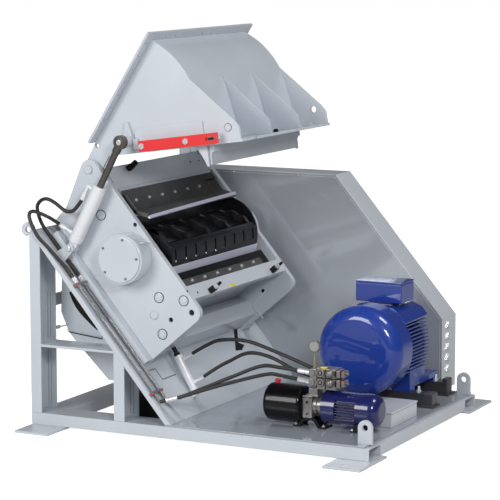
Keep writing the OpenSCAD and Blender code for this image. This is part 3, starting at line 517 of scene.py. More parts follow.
def clampCaps(lean, across):  # the front caps sit on a line that leans up or down, and the top caps in a row
    made = []
    for s in pipeClamps["along"]:
        for side in (-1, 1):
            over = pipeClamps["over"] + side * lean * pipeClamps["stepOver"]
            start = s + side * pipeClamps["stepAlong"]
            made.append(disc(start, 0, over, pipeClamps["capRadius"], pipeClamps["frontCap"], onBed, 12, 1))
        made += [turned(pipeClamps["topCap"], onBed @ shift(s, y, 0), 12) for y in across]
    return joined(made)


kept(clampCaps(1, pipeClamps["redAcross"]), "clamp_caps_red", "redPaint")
kept(clampCaps(-1, pipeClamps["tealAcross"]), "clamp_caps_teal", "tealCap")

# grease pipe of the bearing
greasePipe = {
    "route": [(440, 80, 446), (460, 84, 490), (480, 104, 524), (500, 150, 536)], "rings": 14, "radius": 4,
}
greaseLine = [onBed @ point for point in along(greasePipe["route"], greasePipe["rings"])]
kept(tube(greaseLine, greasePipe["radius"], 12), "bearing_grease_pipe", "brightSteel")
kept(fused(ferrules), "hose_ferrules", "brightSteel")
print("hoses ready")


# plates and frames: the CAD shapes with broken edges, by paint and the width of the edge
plainNodes = {
    ("greyPaint", 3): [
        "long_beams", "cross_channels", "lifting_lugs", "left_frames", "bed_bars", "side_plate_rear",
        "bearings", "cylinder_boss"],
    ("greyPaint", 2): [
        "foot_plates", "bed_plate", "discharge_housing", "cross_beam", "hinge_pins", "hopper_flange",
        "cylinder_bracket"],
    ("deckShadedPaint", 2): ["deck_plate"],
    ("trayPaint", 2): ["lower_trough"],
    ("sheetPaint", 2): ["hopper_ribs"],
    ("sheetPaint", 1): ["hopper_sheets"],
    ("redPaint", 3): ["locking_bar"],
    ("bluePaint", 4): ["motor_feet"],
    ("darkSteel", 1): ["screen_cradle"],
    ("platedSteel", 2): ["rotor_shaft"],
    ("knifeSteelPaintedReflection", 1): ["rotor_knives"],
    ("pipeSteel", 1): ["oil_pipes"],
}
for (paint, width), nodeNames in plainNodes.items():
    for nodeName in nodeNames:
        kept(smooth(dressed(nodeName, width)), nodeName + "_dressed", paint, nodeName)

# upper wall: dark inside the chamber, with a painted ledge
wallSizes = {"edge": 2, "ledgeOver": 504, "ledgeAlong": 142}


def onLedge(face):
    centre = onBed.inverted() @ face.center * 1000
    return centre.z > wallSizes["ledgeOver"] and centre.x < wallSizes["ledgeAlong"]


wall = smooth(dressed("upper_wall", wallSizes["edge"]))
kept(wall, "upper_wall_dressed", "darkSteel", "upper_wall")
repainted(wall, "greyPaint", onLedge)
print("plates ready")


# drive motor: domed cowl, finned frame between smooth shoulders, and the shaft's end shield
cowlLow, cowlHigh = spanOf("motor_cowl")
motor = {
    "x": (cowlLow.x + cowlHigh.x) / 2, "z": (cowlLow.z + cowlHigh.z) / 2,
    "front": cowlLow.y, "cowlEnd": cowlHigh.y, "coreLap": 12, "shoulderLap": (5, 8), "finGap": (2, 6),
    "cowlRadius": 272, "round": 90, "frameRadius": 208, "frameEnd": 1335,
    "fins": 14, "finStep": 22, "finThick": 8, "finTop": 138, "finRoot": 150, "finTip": 241, "finFall": 0.001,
    "shoulderTop": [(-224, 150), (224, 150), (224, 168), (192, 208), (120, 240), (-120, 240), (-192, 208),
        (-224, 168)],
    "shoulderFoot": [(-208, -176), (-150, -224), (150, -224), (208, -176)],
    "shield": [(202, -4), (196, 30), (150, 45), (90, 47), (90, 115), (38, 115), (38, 464)],
}
motorAxis = shift(motor["x"], 0, motor["z"])
cowlRings = []
for k in range(10):
    angle = math.radians(10 * k)
    radius = motor["cowlRadius"] - motor["round"] * (1 - math.sin(angle))
    cowlRings.append((radius, motor["round"] * (1 - math.cos(angle))))
cowlRings.append((motor["cowlRadius"], motor["cowlEnd"] - motor["front"]))
cowl = turned(cowlRings, motorAxis @ shift(0, motor["front"], 0) @ alongY, 96)
kept(smooth(cowl, 40), "motor_cowl_dome", "bluePaint", "motor_cowl")
coreStart = motor["cowlEnd"] - motor["coreLap"]
shoulderSpan = (motor["cowlEnd"] - motor["shoulderLap"][0], motor["frameEnd"] + motor["shoulderLap"][1])
finSpan = (motor["cowlEnd"] + motor["finGap"][0], motor["frameEnd"] - motor["finGap"][1])
frameParts = [
    disc(0, coreStart, 0, motor["frameRadius"], motor["frameEnd"] - coreStart, motorAxis, 64),
    plate(motor["shoulderTop"], *shoulderSpan, motorAxis, 14),
    plate(motor["shoulderFoot"], *shoulderSpan, motorAxis, 10),
]
for k in range(motor["fins"]):
    height = motor["finTop"] - k * motor["finStep"]
    tip = motor["finTip"] - motor["finFall"] * height * height
    half = motor["finThick"] / 2
    for low, high in ((motor["finRoot"], tip), (-tip, -motor["finRoot"])):
        near = (low, finSpan[0], height - half)
        far = (high, finSpan[1], height + half)
        frameParts.append(block(near, far, motorAxis, 2.5))
frameParts.append(turned(motor["shield"], motorAxis @ shift(0, motor["frameEnd"], 0) @ alongY, 48))
kept(fused(frameParts), "motor_frame", "bluePaint", "motor_body")

terminalBox = {
    "body": ((1628, 1102, 718), (1928, 1298, 831), 6, 3),
    "lid": ((1628, 1102, 832.5), (1928, 1298, 843), 3),
    "joint": ((1632, 1106, 826), (1924, 1294, 838), 0),
    "neck": ((1703, 1138, 650), (1853, 1262, 722), 4),
}
kept(fused(blocks(terminalBox)), "terminal_box_with_lid", "bluePaint", "terminal_box")

# slide rails with end blocks and set bolts
slideRails = {
    "frontRail": ((1450, 1101, deckTop), (2130, 1181, 182), 4),
    "frontSole": ((1450, 1086, deckTop), (2146, 1196, 111), 2),
    "frontEnd": ((2066, 1096, deckTop), (2136, 1186, 185), 6),
    "rearRail": ((1450, 1478, deckTop), (2078, 1558, 182), 4),
    "rearSole": ((1450, 1463, deckTop), (2094, 1573, 111), 2),
    "rearEnd": ((2044, 1480, deckTop), (2084, 1556, 205), 10, 3),
}
railBolts = {
    "rings": [(17, 182), (17, 194), (9, 194), (9, 216), (7, 218)],
    "places": [(2030, 1141), (1500, 1141), (1988, 1518), (1500, 1518)],
}
kept(fused(blocks(slideRails)), "slide_rails_cast", "railPaint", "slide_rails")
setBolts = studs(railBolts["rings"], [shift(x, y, 0) for x, y in railBolts["places"]])
kept(setBolts, "slide_rail_bolts", "brightSteel")

# control box with a lid seam
boxLow, boxHigh = spanOf("control_box")
controlBox = {
    "body": (boxLow + Vector((3, 3, 0)), boxHigh - Vector((3, 3, 14)), 3),
    "lid": ((boxLow.x, boxLow.y, boxHigh.z - 12), boxHigh, 3),
    "joint": ((boxLow.x + 10, boxLow.y + 10, boxHigh.z - 20), boxHigh - Vector((10, 10, 8)), 0),
}
kept(fused(blocks(controlBox)), "control_box_with_lid", "trayPaint", "control_box")

# power pack: tank with its filler cap
tankLow, tankHigh = spanOf("oil_tank")
pack = {
    "y": (tankLow.y + tankHigh.y) / 2, "z": 222,
    "tankStart": tankLow.x, "motorStart": spanOf("pump_motor")[0].x,
}
packAxis = shift(0, pack["y"], pack["z"]) @ alongX
tankSizes = {
    "rings": [(60, 0), (94, 5), (105, 14), (110, 28), (110, 218), (105, 232), (94, 241), (60, 246)],
    "capRings": [(12, 328), (12, 340), (18, 341), (18, 354), (14, 357)], "capX": 1468,
}
tank = turned(tankSizes["rings"], shift(pack["tankStart"], 0, 0) @ packAxis, 64)
kept(smooth(tank, 50), "oil_tank_shell", "blackPaint", "oil_tank")
cap = turned(tankSizes["capRings"], shift(tankSizes["capX"], pack["y"], 0), 20)
kept(smooth(cap), "tank_filler_cap", "redPaint")

# pump motor with a recess of fins on its front
pumpMotor = {
    "rings": [(88, 0), (98, 4), (98, 92), (95, 94), (95, 250), (98, 252), (98, 292), (94, 314), (84, 332),
        (66, 345), (44, 351)],
    "recess": ((1866, 240, 162), (1994, 286, 280)), "recessEdge": 6,
    "fin": ((1868, 264, 168), (1992, 292, 174)), "fins": 7, "finStep": 16,
}
pump = turned(pumpMotor["rings"], shift(pack["motorStart"], 0, 0) @ packAxis, 64)
cut(pump, block(*pumpMotor["recess"], edge=pumpMotor["recessEdge"]))
finPlaces = [shift(0, 0, pumpMotor["finStep"] * k) for k in range(pumpMotor["fins"])]
fins = copied(block(*pumpMotor["fin"], edge=1), finPlaces)
kept(fused([pump, fins]), "pump_motor_shell", "navyPaint", "pump_motor")

# pump block between tank and motor, with its round adapter and ports
pumpBlock = {
    "body": ((1656, 290, 157), (1716, 420, 287), 3),
    "post": ((1684, 315, 287), (1739, 395, 326), 2),
    "seat": ((1676, 305, 280), (1748, 400, 292), 2),
}
adapter = {"x": 1716, "rings": [(60, 0), (62, 3), (62, 22), (55, 24), (55, 36), (62, 38), (62, 62)]}
pumpPorts = {
    "x": 1686, "bossY": 286, "boss": 8, "holeY": 284.5, "hole": 3,
    "upper": (250, 15, 8), "lower": (182, 10, 6),
    "screw": (288.5, 276, 4, 3), "screws": (1663, 1674, 1698, 1709),
}
blockParts = blocks(pumpBlock) + [turned(adapter["rings"], shift(adapter["x"], 0, 0) @ packAxis, 40)]
portParts = []
# black discs as painted shade in the port holes, and black screw heads
for z, boss, hole in (pumpPorts["upper"], pumpPorts["lower"]):
    blockParts.append(disc(pumpPorts["x"], pumpPorts["bossY"], z, boss, pumpPorts["boss"], sides=24))
    portParts.append(disc(pumpPorts["x"], pumpPorts["holeY"], z, hole, pumpPorts["hole"], sides=20, edge=0))
kept(fused(blockParts), "pump_block_body", "platedSteel", "pump_block")
portParts += [disc(x, *pumpPorts["screw"], sides=12, edge=0) for x in pumpPorts["screws"]]
kept(joined(portParts), "pump_port_shade_and_screws", "blackSteel")

# arched bracket under the pump block, foot under the pump motor, and their bolts
packBrackets = {
    "arch": [(1588, 98), (1634, 98), (1652, 128), (1670, 142), (1712, 142), (1730, 128), (1748, 98),
        (1794, 98), (1794, 106), (1760, 110), (1744, 140), (1724, 158), (1658, 158), (1638, 140),
        (1622, 110), (1588, 106)],
    "archSpan": (300, 410),
    "feet": {
        "post": ((1972, 297, deckTop), (2038, 413, 152), 4),
        "sole": ((1955, 290, deckTop), (2055, 420, 106), 2),
    },
    "bolt": [(10, 106), (10, 112), (5, 113), (5, 119)],
    "bolts": [(1604, 316), (1778, 316), (1604, 394), (1778, 394), (1964, 300), (2046, 300)],
}
footParts = [plate(packBrackets["arch"], *packBrackets["archSpan"], edge=2)] + blocks(packBrackets["feet"])
kept(fused(footParts), "pack_brackets", "blackSteel", "pack_feet")
footBolts = studs(packBrackets["bolt"], [shift(x, y, 0) for x, y in packBrackets["bolts"]])
kept(footBolts, "pack_bolts", "brightSteel")

# valve block: two valves, one over the other, each with a port, two knobs, solenoid and plug
valveBlock = {
    "manifold": ((1738, 300, 330), (1862, 392, 452), 4),
    "inlet": ((1698, 296, 346), (1742, 384, 446), 5),
}
valve = {
    "heights": (424, 368),
    "port": (1712, 287, 0, 21, 12),
    "nut": [(15, 1688), (19, 1692), (19, 1708), (13, 1710), (13, 1742)], "nutPlace": (0, 380, 10),
    "ringKnob": [(25, 0), (25, 9), (22, 13), (15, 13), (15, 5), (9, 5), (9, 13), (6, 15)],
    "domeKnob": [(25, 0), (25, 12), (21, 20), (13, 26), (6, 28)],
    "ringPlace": (1768, 300, 3), "domePlace": (1826, 300, 3),
    "solenoid": {
        "coil": ((1862, 302, -20), (1888, 376, 24), 4),
        "cap": ((1892, 306, -16), (1912, 370, 20), 3),
    },
    "plug": [(12, 1884), (12, 1922), (8, 1925)], "plugPlace": (0, 338, 2),
}
valveParts = blocks(valveBlock)
for z in valve["heights"]:
    onValve = shift(0, 0, z)
    valveParts.append(disc(*valve["port"], onValve, sides=24, edge=3))
    valveParts.append(turned(valve["nut"], onValve @ shift(*valve["nutPlace"]) @ alongX, 6))
    valveParts.append(turned(valve["ringKnob"], onValve @ shift(*valve["ringPlace"]) @ towardFront, 28))
    valveParts.append(turned(valve["domeKnob"], onValve @ shift(*valve["domePlace"]) @ towardFront, 28))
    valveParts += blocks(valve["solenoid"], onValve)
    valveParts.append(turned(valve["plug"], onValve @ shift(*valve["plugPlace"]) @ alongX, 16))
kept(fused(valveParts), "valve_block_body", "platedSteel", "valve_block")

valveGrooves = {
    "across": ((1741, 297, 394), (1866, 303, 400), 1),
    "middle": ((1794, 297, 332), (1799, 303, 450), 1),
    "left": ((1740, 297, 340), (1744, 303, 446), 1),
}
solenoidGrooves = {
    "coil": ((1888, 304, -20), (1893, 374, 18), 1),
    "edge": ((1856, 296, -20), (1862, 302, 16), 1),
}
valveMarks = {
    "ring": (1768, 294.5, -1, 16, 3), "rings": (428, 372),
    "red": ((1898, 304, 0), (1905, 307, 5)), "reds": (442, 396, 378),
    "tag": ((1762, 306, 452), (1800, 330, 458)),
}
darkRings = blocks(valveGrooves)
for z in valveMarks["rings"]:
    darkRings.append(disc(*valveMarks["ring"], shift(0, 0, z), edge=0))
    darkRings += blocks(solenoidGrooves, shift(0, 0, z))
kept(fused(darkRings), "valve_rings", "blackSteel")
redMark = block(*valveMarks["red"], edge=0.5)
kept(copied(redMark, [shift(0, 0, z) for z in valveMarks["reds"]]), "valve_marks", "redPaint")
kept(block(*valveMarks["tag"], edge=1.5), "valve_tag", "yellowTag")

# pressure gauge on its stem
gauge = {
    "place": (1729, 288, 579), "stemPlace": (1729, 300, 0),
    "case": [(31, 0), (34, 3), (34, 22), (30, 25)],
    "dial": [(27, -1.5), (29, 0.5), (29, 3)],
    "stem": [(7, 448), (7, 470), (12, 470), (12, 486), (7, 488), (7, 522), (10, 524), (10, 534), (6, 536),
        (6, 552)],
}
gaugePlace = shift(*gauge["place"]) @ alongY
kept(smooth(turned(gauge["case"], gaugePlace, 40)), "pressure_gauge_case", "platedSteel", "pressure_gauge")
kept(smooth(turned(gauge["dial"], gaugePlace, 40)), "pressure_gauge_dial", "dialFace")
kept(smooth(turned(gauge["stem"], shift(*gauge["stemPlace"]), 16)), "pressure_gauge_stem", "brass")
print("drive and power pack ready")

# rotor: core and end discs
rotorSizes = {
    "start": 250, "end": 1400, "core": 158, "wings": 3, "firstWing": -21,
    "endDisc": 16, "frontDisc": 160, "rearDisc": 234,
}
rotorAxis = onBed @ shift(layout["rotorAlongBed"], 0, layout["rotorOverBed"])
rotorStart, rotorEnd = rotorSizes["start"], rotorSizes["end"]
rotorParts = [disc(0, rotorStart, 0, rotorSizes["core"], rotorEnd - rotorStart, rotorAxis, 64)]
rearStart = rotorEnd - rotorSizes["endDisc"]
for y, radius in ((rotorStart, rotorSizes["frontDisc"]), (rearStart, rotorSizes["rearDisc"])):
    rotorParts.append(disc(0, y, 0, radius, rotorSizes["endDisc"], rotorAxis, 96, 2))

# rotor: the grooved carrier of a row of knives, and its bolts
carrierSizes = {
    "foot": [(0, 60), (100, 0), (226, 2)], "face": (236, 5, 42, 10), "lip": (226, 46, 50, 2),
    "back": [(118, 152), (60, 150)], "inset": 15, "edge": 3,
    "groove": ((219, -9, -34), (250, 9, 34)), "grooveTurn": -32, "grooveEdge": 6,
    "stations": 9, "firstStation": 312, "step": 127,
    "bolt": [(7, 0), (7, 20), (5, 23)], "boltTurn": -22, "boltOut": 218, "bolts": 5,
}
carrierFace = arc(*carrierSizes["face"]) + arc(*carrierSizes["lip"])
carrierOutline = carrierSizes["foot"] + carrierFace + carrierSizes["back"]
carrierStart, carrierEnd = rotorStart + carrierSizes["inset"], rotorEnd - carrierSizes["inset"]
carrier = plate(carrierOutline, carrierStart, carrierEnd, upright, carrierSizes["edge"])
groove = block(*carrierSizes["groove"], turn(carrierSizes["grooveTurn"], "Y"), carrierSizes["grooveEdge"])
stations = []
for k in range(carrierSizes["stations"]):
    stations.append(shift(0, carrierSizes["firstStation"] + k * carrierSizes["step"], 0))
cut(carrier, copied(groove, stations))
boltPlace = turn(carrierSizes["boltTurn"], "Y") @ shift(carrierSizes["boltOut"], 0, 0) @ alongX
bolts = copied(turned(carrierSizes["bolt"], boltPlace, 6), stations[:carrierSizes["bolts"]])

# rotor: the sloping ridges between two rows of knives
ridgeSizes = {
    "count": 5, "first": 160, "step": 265, "width": 40, "slope": 1.6, "low": 262, "high": 1388, "end": 104,
    "root": (150, 48, 104, 6), "tops": [(222, 48, 62, 3), (200, 70, 84, 3), (175, 92, 104, 3)], "edge": 6,
}
ridgeTop = [point for top in ridgeSizes["tops"] for point in arc(*top)]
ridgeOutline = arc(*ridgeSizes["root"]) + ridgeTop[::-1]
ridges = []
for k in range(ridgeSizes["count"]):
    start = ridgeSizes["first"] + k * ridgeSizes["step"]
    ridge = plate(ridgeOutline, start, start + ridgeSizes["width"], upright, ridgeSizes["edge"])
    for point in ridge.data.vertices:
        angle = math.degrees(math.atan2(point.co.z, point.co.x))
        y = point.co.y + (ridgeSizes["end"] - angle) * ridgeSizes["slope"] / 1000
        point.co.y = min(max(y, ridgeSizes["low"] / 1000), ridgeSizes["high"] / 1000)
    ridges.append(ridge)
wings = [rotorAxis @ turn(rotorSizes["firstWing"] - 120 * k, "Y") for k in range(rotorSizes["wings"])]
rotorParts += [copied(carrier, wings), copied(joined(ridges), wings)]
kept(fused(rotorParts, 30), "rotor_pocketed_body", "rotorSteel", "rotor_body")
kept(copied(bolts, wings), "rotor_bolts", "brightSteel", body="rotor")

# knife seats and clamps in the bed, as outlines along and over the bed
knifeBed = {
    "seat": [(704, 455), (820, 455), (820, 475), (704, 475)], "seatSpan": (218, 1432),
    "clamps": {
        "lower": ([(764, 475), (820, 475), (820, 512), (813, 516), (776, 516), (764, 506)], 218, 1269, 2.5),
        "upperSeat": ([(170, 505), (275, 505), (345, 562), (347, 574), (333, 585), (255, 520), (170, 520)],
            250, 1400),
        "upper": ([(150, 505), (275, 505), (289, 525), (263, 540), (150, 540)], 250, 1235, 2.5),
        "wallBar": ([(120, 500), (165, 500), (165, 528), (120, 528)], 250, 1400, 2),
    },
    "bolts": 6,
    "upperBolts": ([(10, 536), (10, 549), (6, 551)], 209, 310, 159),
    "lowerBolts": ([(10, 517), (10, 529), (6, 531)], 793, 333, 161),
}
# the knife seat is black as painted shade of the gap under the knife
seat = plate(knifeBed["seat"], *knifeBed["seatSpan"], onBed)
kept(seat, "lower_knife_seat_shade", "blackSteel")
kept(fused(plates(knifeBed["clamps"], onBed)), "knife_clamps", "clampSteel", "knife_bars")
clampBolts = []
for rings, s, y, step in (knifeBed["upperBolts"], knifeBed["lowerBolts"]):
    places = [onBed @ shift(s, y + step * k, 0) for k in range(knifeBed["bolts"])]
    clampBolts.append(studs(rings, places))
kept(joined(clampBolts), "clamp_bolts", "brightSteel")

# skewed upper knife
upperKnife = {
    "outline": [(348, 262), (354, 222), (368, 226), (368, 270), (344, 1372), (322, 1372)],
    "low": 583, "high": 596,
}
knife = slab(upperKnife["outline"], upperKnife["low"], upperKnife["high"], onBed)
kept(knife, "upper_knife", "knifeSteelPaintedReflection")
print("chamber ready")

# dark strips as painted shade lines along the folded edges on the inner faces of the left posts' rear flanges
postShadeLines = {
    "across": (18, 37), "width": 2, "stand": 1.5, "faces": (169, 1639),
    "spans": ((0, 99, 478), (0, 512, 800), (568, 99, 350)),
}
shadeLines = []
for start, low, high in postShadeLines["spans"]:
    for x in postShadeLines["across"]:
        for face in postShadeLines["faces"]:
            near = (start + x, face - postShadeLines["stand"], low)
            far = (start + x + postShadeLines["width"], face, high)
            shadeLines.append(block(near, far, upright, 0.4))
kept(joined(shadeLines), "post_shade_lines", "seamShade")

# swing bolts of the cross beam and of the wall's ledge
swingBolts = {
    "beam": [(893, 430, 530), (886, 1270, 530)], "ledge": (-14, 491, 526),
    "beamFoot": ((-17, -21, 0), (17, 21, 42)), "ledgeFoot": ((-17, -21, 0), (17, 21, 40)), "edge": 5,
    "stud": [(9, 60), (9, 88), (6, 91)],
    "knob": [(15, 40), (17, 44), (17, 70), (12, 74)],
    "nut": [(17, 40), (17, 50), (14, 52), (14, 66), (11, 69)],
}
beamPlaces = [onBed @ shift(*place) for place in swingBolts["beam"]]
ledgePlace = onBed @ shift(*swingBolts["ledge"])
swingBodies = [
    copied(block(*swingBolts["beamFoot"], edge=swingBolts["edge"]), beamPlaces),
    studs(swingBolts["stud"], beamPlaces, 12),
    block(*swingBolts["ledgeFoot"], ledgePlace, swingBolts["edge"]),
    turned(swingBolts["knob"], ledgePlace, 16),
]
kept(fused(swingBodies), "swing_bolt_bodies", "blackSteel")
kept(smooth(studs(swingBolts["nut"], beamPlaces)), "swing_bolt_nuts", "brightSteel")

# tag and dark plugs on the cross beam and the ledge
beamTag = {"outline": [(886, 690), (906, 690), (912, 735), (890, 735)], "low": 529, "high": 532}
beamDots = {
    "beamRings": [(7, 529), (7, 531.5), (5, 532)], "beam": [(877, 287), (851, 190)],
    "ledgeRings": [(8, 525), (8, 527)], "ledge": [(20, 1240), (22, 1350)],
}
tag = slab(beamTag["outline"], beamTag["low"], beamTag["high"], onBed, 1)
kept(tag, "beam_tag", "yellowTag")
dots = []
for rings, places in ((beamDots["beamRings"], beamDots["beam"]), (beamDots["ledgeRings"], beamDots["ledge"])):
    dots.append(studs(rings, [onBed @ shift(s, y, 0) for s, y in places], 16))
kept(joined(dots), "beam_dots", "blackSteel")

# cradle cylinder: barrel with two ports and its far bracket, and the rod
cradleCylinder = {
    "place": (1008, 420, 112), "tilt": 99.92,
    "barrel": [(21, 56), (27, 58), (27, 72), (25, 74), (25, 280), (27, 282), (27, 295), (20, 298)],
    "port": [(13, 18), (13, 42), (8, 44), (8, 88), (11, 90), (11, 98)], "ports": (92, 245),
    "bracket": ((1292, 402, 30), (1322, 438, 82)),
    "rod": [(13, 0), (13, 38), (19, 39), (19, 55)],
}
onCradle = onBed @ shift(*cradleCylinder["place"]) @ turn(cradleCylinder["tilt"], "Y")
portPlaces = [onCradle @ shift(0, 0, z) @ towardLeft for z in cradleCylinder["ports"]]
cradleParts = [
    turned(cradleCylinder["barrel"], onCradle, 32),
    block(*cradleCylinder["bracket"], onBed, 4),
    studs(cradleCylinder["port"], portPlaces, 16),
]
kept(fused(cradleParts), "cradle_cylinder_barrel", "barrelPaint", "cradle_cylinder")
kept(smooth(turned(cradleCylinder["rod"], onCradle, 24)), "cradle_cylinder_rod", "blackSteel")

# bed: a stepped seam; the slot beside the trough and the rear plate's hole, black as painted shade; and light
# strips as painted highlights along the rear plate's edges, with a pin
bedMarks = {
    "seam": [(1071, 164), (1066, 235), (1145, 230), (1150, 398)], "seamHalf": 1,
    "slot": [(985, 1363), (976, 1418), (1094, 1290), (1122, 1340), (1149, 1275), (1138, 1199)],
    "low": 29, "high": 31.5,
    "hole": [(13, 0), (13, 1.5)], "holePlace": (918, 1432, 318),
    "pin": [(30, 0), (30, 3), (25, 4), (25, 1), (4, 1)], "pinPlace": (1042, 1400, 30),
    "edges": {
        "upper": ([(953, 199), (953, 205), (1054, 207), (1054, 201)], 1425, 1432, 1),
        "side": ([(951, 203), (956, 203), (928, 338), (923, 336)], 1427, 1432, 1),
    },
}
bedSeams = []
for a, b in zip(bedMarks["seam"], bedMarks["seam"][1:]):
    half = bedMarks["seamHalf"]
    near = (min(a[0], b[0]) - half, min(a[1], b[1]) - half, bedMarks["low"])
    far = (max(a[0], b[0]) + half, max(a[1], b[1]) + half, bedMarks["high"])
    bedSeams.append(block(near, far, onBed, 0.3))
kept(joined(bedSeams), "bed_seams", "seamShade")
# the slot and the hole are thin black shapes: painted shade inside the openings
bedHoles = [
    slab(bedMarks["slot"], bedMarks["low"], bedMarks["high"], onBed, 0.5),
    turned(bedMarks["hole"], onBed @ shift(*bedMarks["holePlace"]) @ towardFront, 24),
]
kept(joined(bedHoles), "bed_openings_painted_shade", "blackSteel")
# light strips on the rear plate's edges are painted highlights; the pin beside them is a real part
edgeHighlights = plates(bedMarks["edges"], onBed)
edgeHighlights.append(turned(bedMarks["pin"], onBed @ shift(*bedMarks["pinPlace"])))
kept(fused(edgeHighlights), "bed_edge_highlights_and_pin", "barrelPaint")

# discharge housing: black plates as painted shade in the recess round the screen, under the ledge and at the
# bed's foot; the ledges and lever
shadePlates = {
    "recess": ([(134, 789), (155, 741), (180, 700), (210, 666), (245, 635), (297, 593), (327, 572),
        (400, 600), (345, 730), (250, 830)], 226, 231, 1),
    "ledgeShade": ([(124, 549), (361, 524), (361, 519), (124, 544)], 227, 231, 0.5),
    "footShade": ([(596, 62), (596, 450), (700, 326), (870, 125), (870, 62)], 250, 256, 1),
}
ledgePlates = {
    "ledge": ([(120, 562), (361, 537), (361, 531), (120, 556)], 218, 232, 1),
    "lever": ([(52, 575), (129, 595), (131, 587), (54, 567)], 224, 234, 1.5),
}
leverKnob = (56, 214, 571, 11, 24)
kept(joined(plates(shadePlates)), "housing_painted_shade", "blackSteel")
ledges = plates(ledgePlates) + [disc(*leverKnob, sides=20)]
kept(fused(ledges), "housing_ledges", "greyPaint")
print("bed ready")

# front side plate: holes, ringed pins and a boss, placed along and over the bed
sidePlate = {
    "face": 178, "edge": 3,
    "holes": [(348, 509, 13), (919, 338, 15), (967, 477, 18)], "drill": (170, 30),
    "shade": (190, 8), "shadeGap": 0.5,
    "pins": [(167, 363), (772, 360), (883, 481), (952, 238)],
    "pin": [(28, 0), (28, 3), (24, 4), (24, 2), (17, 2), (17, 6), (13, 7)],
    "pinRing": [(32, 0), (32, 3), (25.5, 3), (25.5, 0.5)],
    "boss": [(26, 0), (26, 7), (22, 10), (22, 8)], "bossPlace": (833, 178, 268),
}
pinPlaces = [onBed @ shift(s, sidePlate["face"], w) @ towardFront for s, w in sidePlate["pins"]]
sideFront = dressed("side_plate_front", sidePlate["edge"])
y, depth = sidePlate["drill"]
cut(sideFront, *[disc(s, y, w, radius, depth, onBed, 24, 0) for s, w, radius in sidePlate["holes"]])
kept(smooth(sideFront), "side_plate_front_drilled", "greyPaint", "side_plate_front")
boss = smooth(turned(sidePlate["boss"], onBed @ shift(*sidePlate["bossPlace"]) @ towardFront))
kept(boss, "side_plate_boss", "greyPaint")
kept(smooth(studs(sidePlate["pin"], pinPlaces, 32)), "side_plate_pins", "greyPaint")
pinRings = [studs(sidePlate["pinRing"], pinPlaces, 40)]
# black discs set into the drilled holes as painted shade
y, depth = sidePlate["shade"]
for s, w, radius in sidePlate["holes"]:
    pinRings.append(disc(s, y, w, radius - sidePlate["shadeGap"], depth, onBed, 24, 0))
kept(joined(pinRings), "side_plate_pin_rings_and_hole_shade", "blackSteel")

# bearing cover with five bolts
bearingCover = {
    "disc": [(130, 43), (136, 47), (136, 57)],
    "collar": [(141, 56), (146, 60), (149, 66), (149, 72), (147, 74)],
    "bolt": [(7, -3), (8, -1), (8, 3)], "boltsY": 42, "boltsRadius": 120, "bolts": 5, "firstBolt": 5,
}
onShaft = shift(rotorPlace.x, 0, rotorPlace.z) @ alongY
cover = fused([turned(bearingCover["disc"], onShaft, 96), turned(bearingCover["collar"], onShaft, 96)])
kept(cover, "bearing_cover_disc", "greyPaint", "bearing_cover")
coverPlaces = []
for k in range(bearingCover["bolts"]):
    angle = math.radians(bearingCover["firstBolt"] + 360 * k / bearingCover["bolts"])
    x = rotorPlace.x + bearingCover["boltsRadius"] * math.cos(angle)
    z = rotorPlace.z + bearingCover["boltsRadius"] * math.sin(angle)
    coverPlaces.append(shift(x, bearingCover["boltsY"], z) @ alongY)
kept(smooth(studs(bearingCover["bolt"], coverPlaces, 16)), "bearing_cover_bolts", "platedSteel")

# hopper cylinder's barrel: an end ring, lug foot, port tubes and the tube beside it
barrelSizes = {
    "rings": [(34, 45), (40, 48), (43, 54), (43, 88), (40, 90), (40, 93), (42, 95), (42, 408), (39, 410),
        (39, 413), (42, 415), (42, 421), (38, 425), (22, 425), (22, 90)],
    "lugRadius": 24, "lugTop": [(27, 47), (-27, 47)], "lugHalf": 15, "lugBore": 14.3,
    "lowPort": [(16, 30), (16, 54), (10, 56), (10, 84), (14, 86), (14, 124), (11, 128)], "lowPortAt": 82,
    "highPort": [(14, 30), (14, 50), (10, 52), (10, 78)], "highPortAt": 385,
    "sideTube": [(13, 293), (15, 296), (15, 340), (11, 343), (10, 392), (7, 396)], "sideTubeAcross": -72,
}
lugOutline = arc(barrelSizes["lugRadius"], 172, 368, 14) + barrelSizes["lugTop"]
lug = plate(lugOutline, -barrelSizes["lugHalf"], barrelSizes["lugHalf"], onCylinder, 2)
cut(lug, disc(0, -20, 0, barrelSizes["lugBore"], 40, onCylinder, edge=0))
barrelParts = [
    turned(barrelSizes["rings"], onCylinder, 48),
    lug,
    turned(barrelSizes["lowPort"], onCylinder @ shift(0, 0, barrelSizes["lowPortAt"]) @ towardLeft, 20),
    turned(barrelSizes["highPort"], onCylinder @ shift(0, 0, barrelSizes["highPortAt"]) @ towardLeft, 20),
    turned(barrelSizes["sideTube"], onCylinder @ shift(barrelSizes["sideTubeAcross"], 0, 0), 20),
]
kept(fused(barrelParts), "hopper_cylinder_barrel", "barrelPaint", "hopper_cylinder")

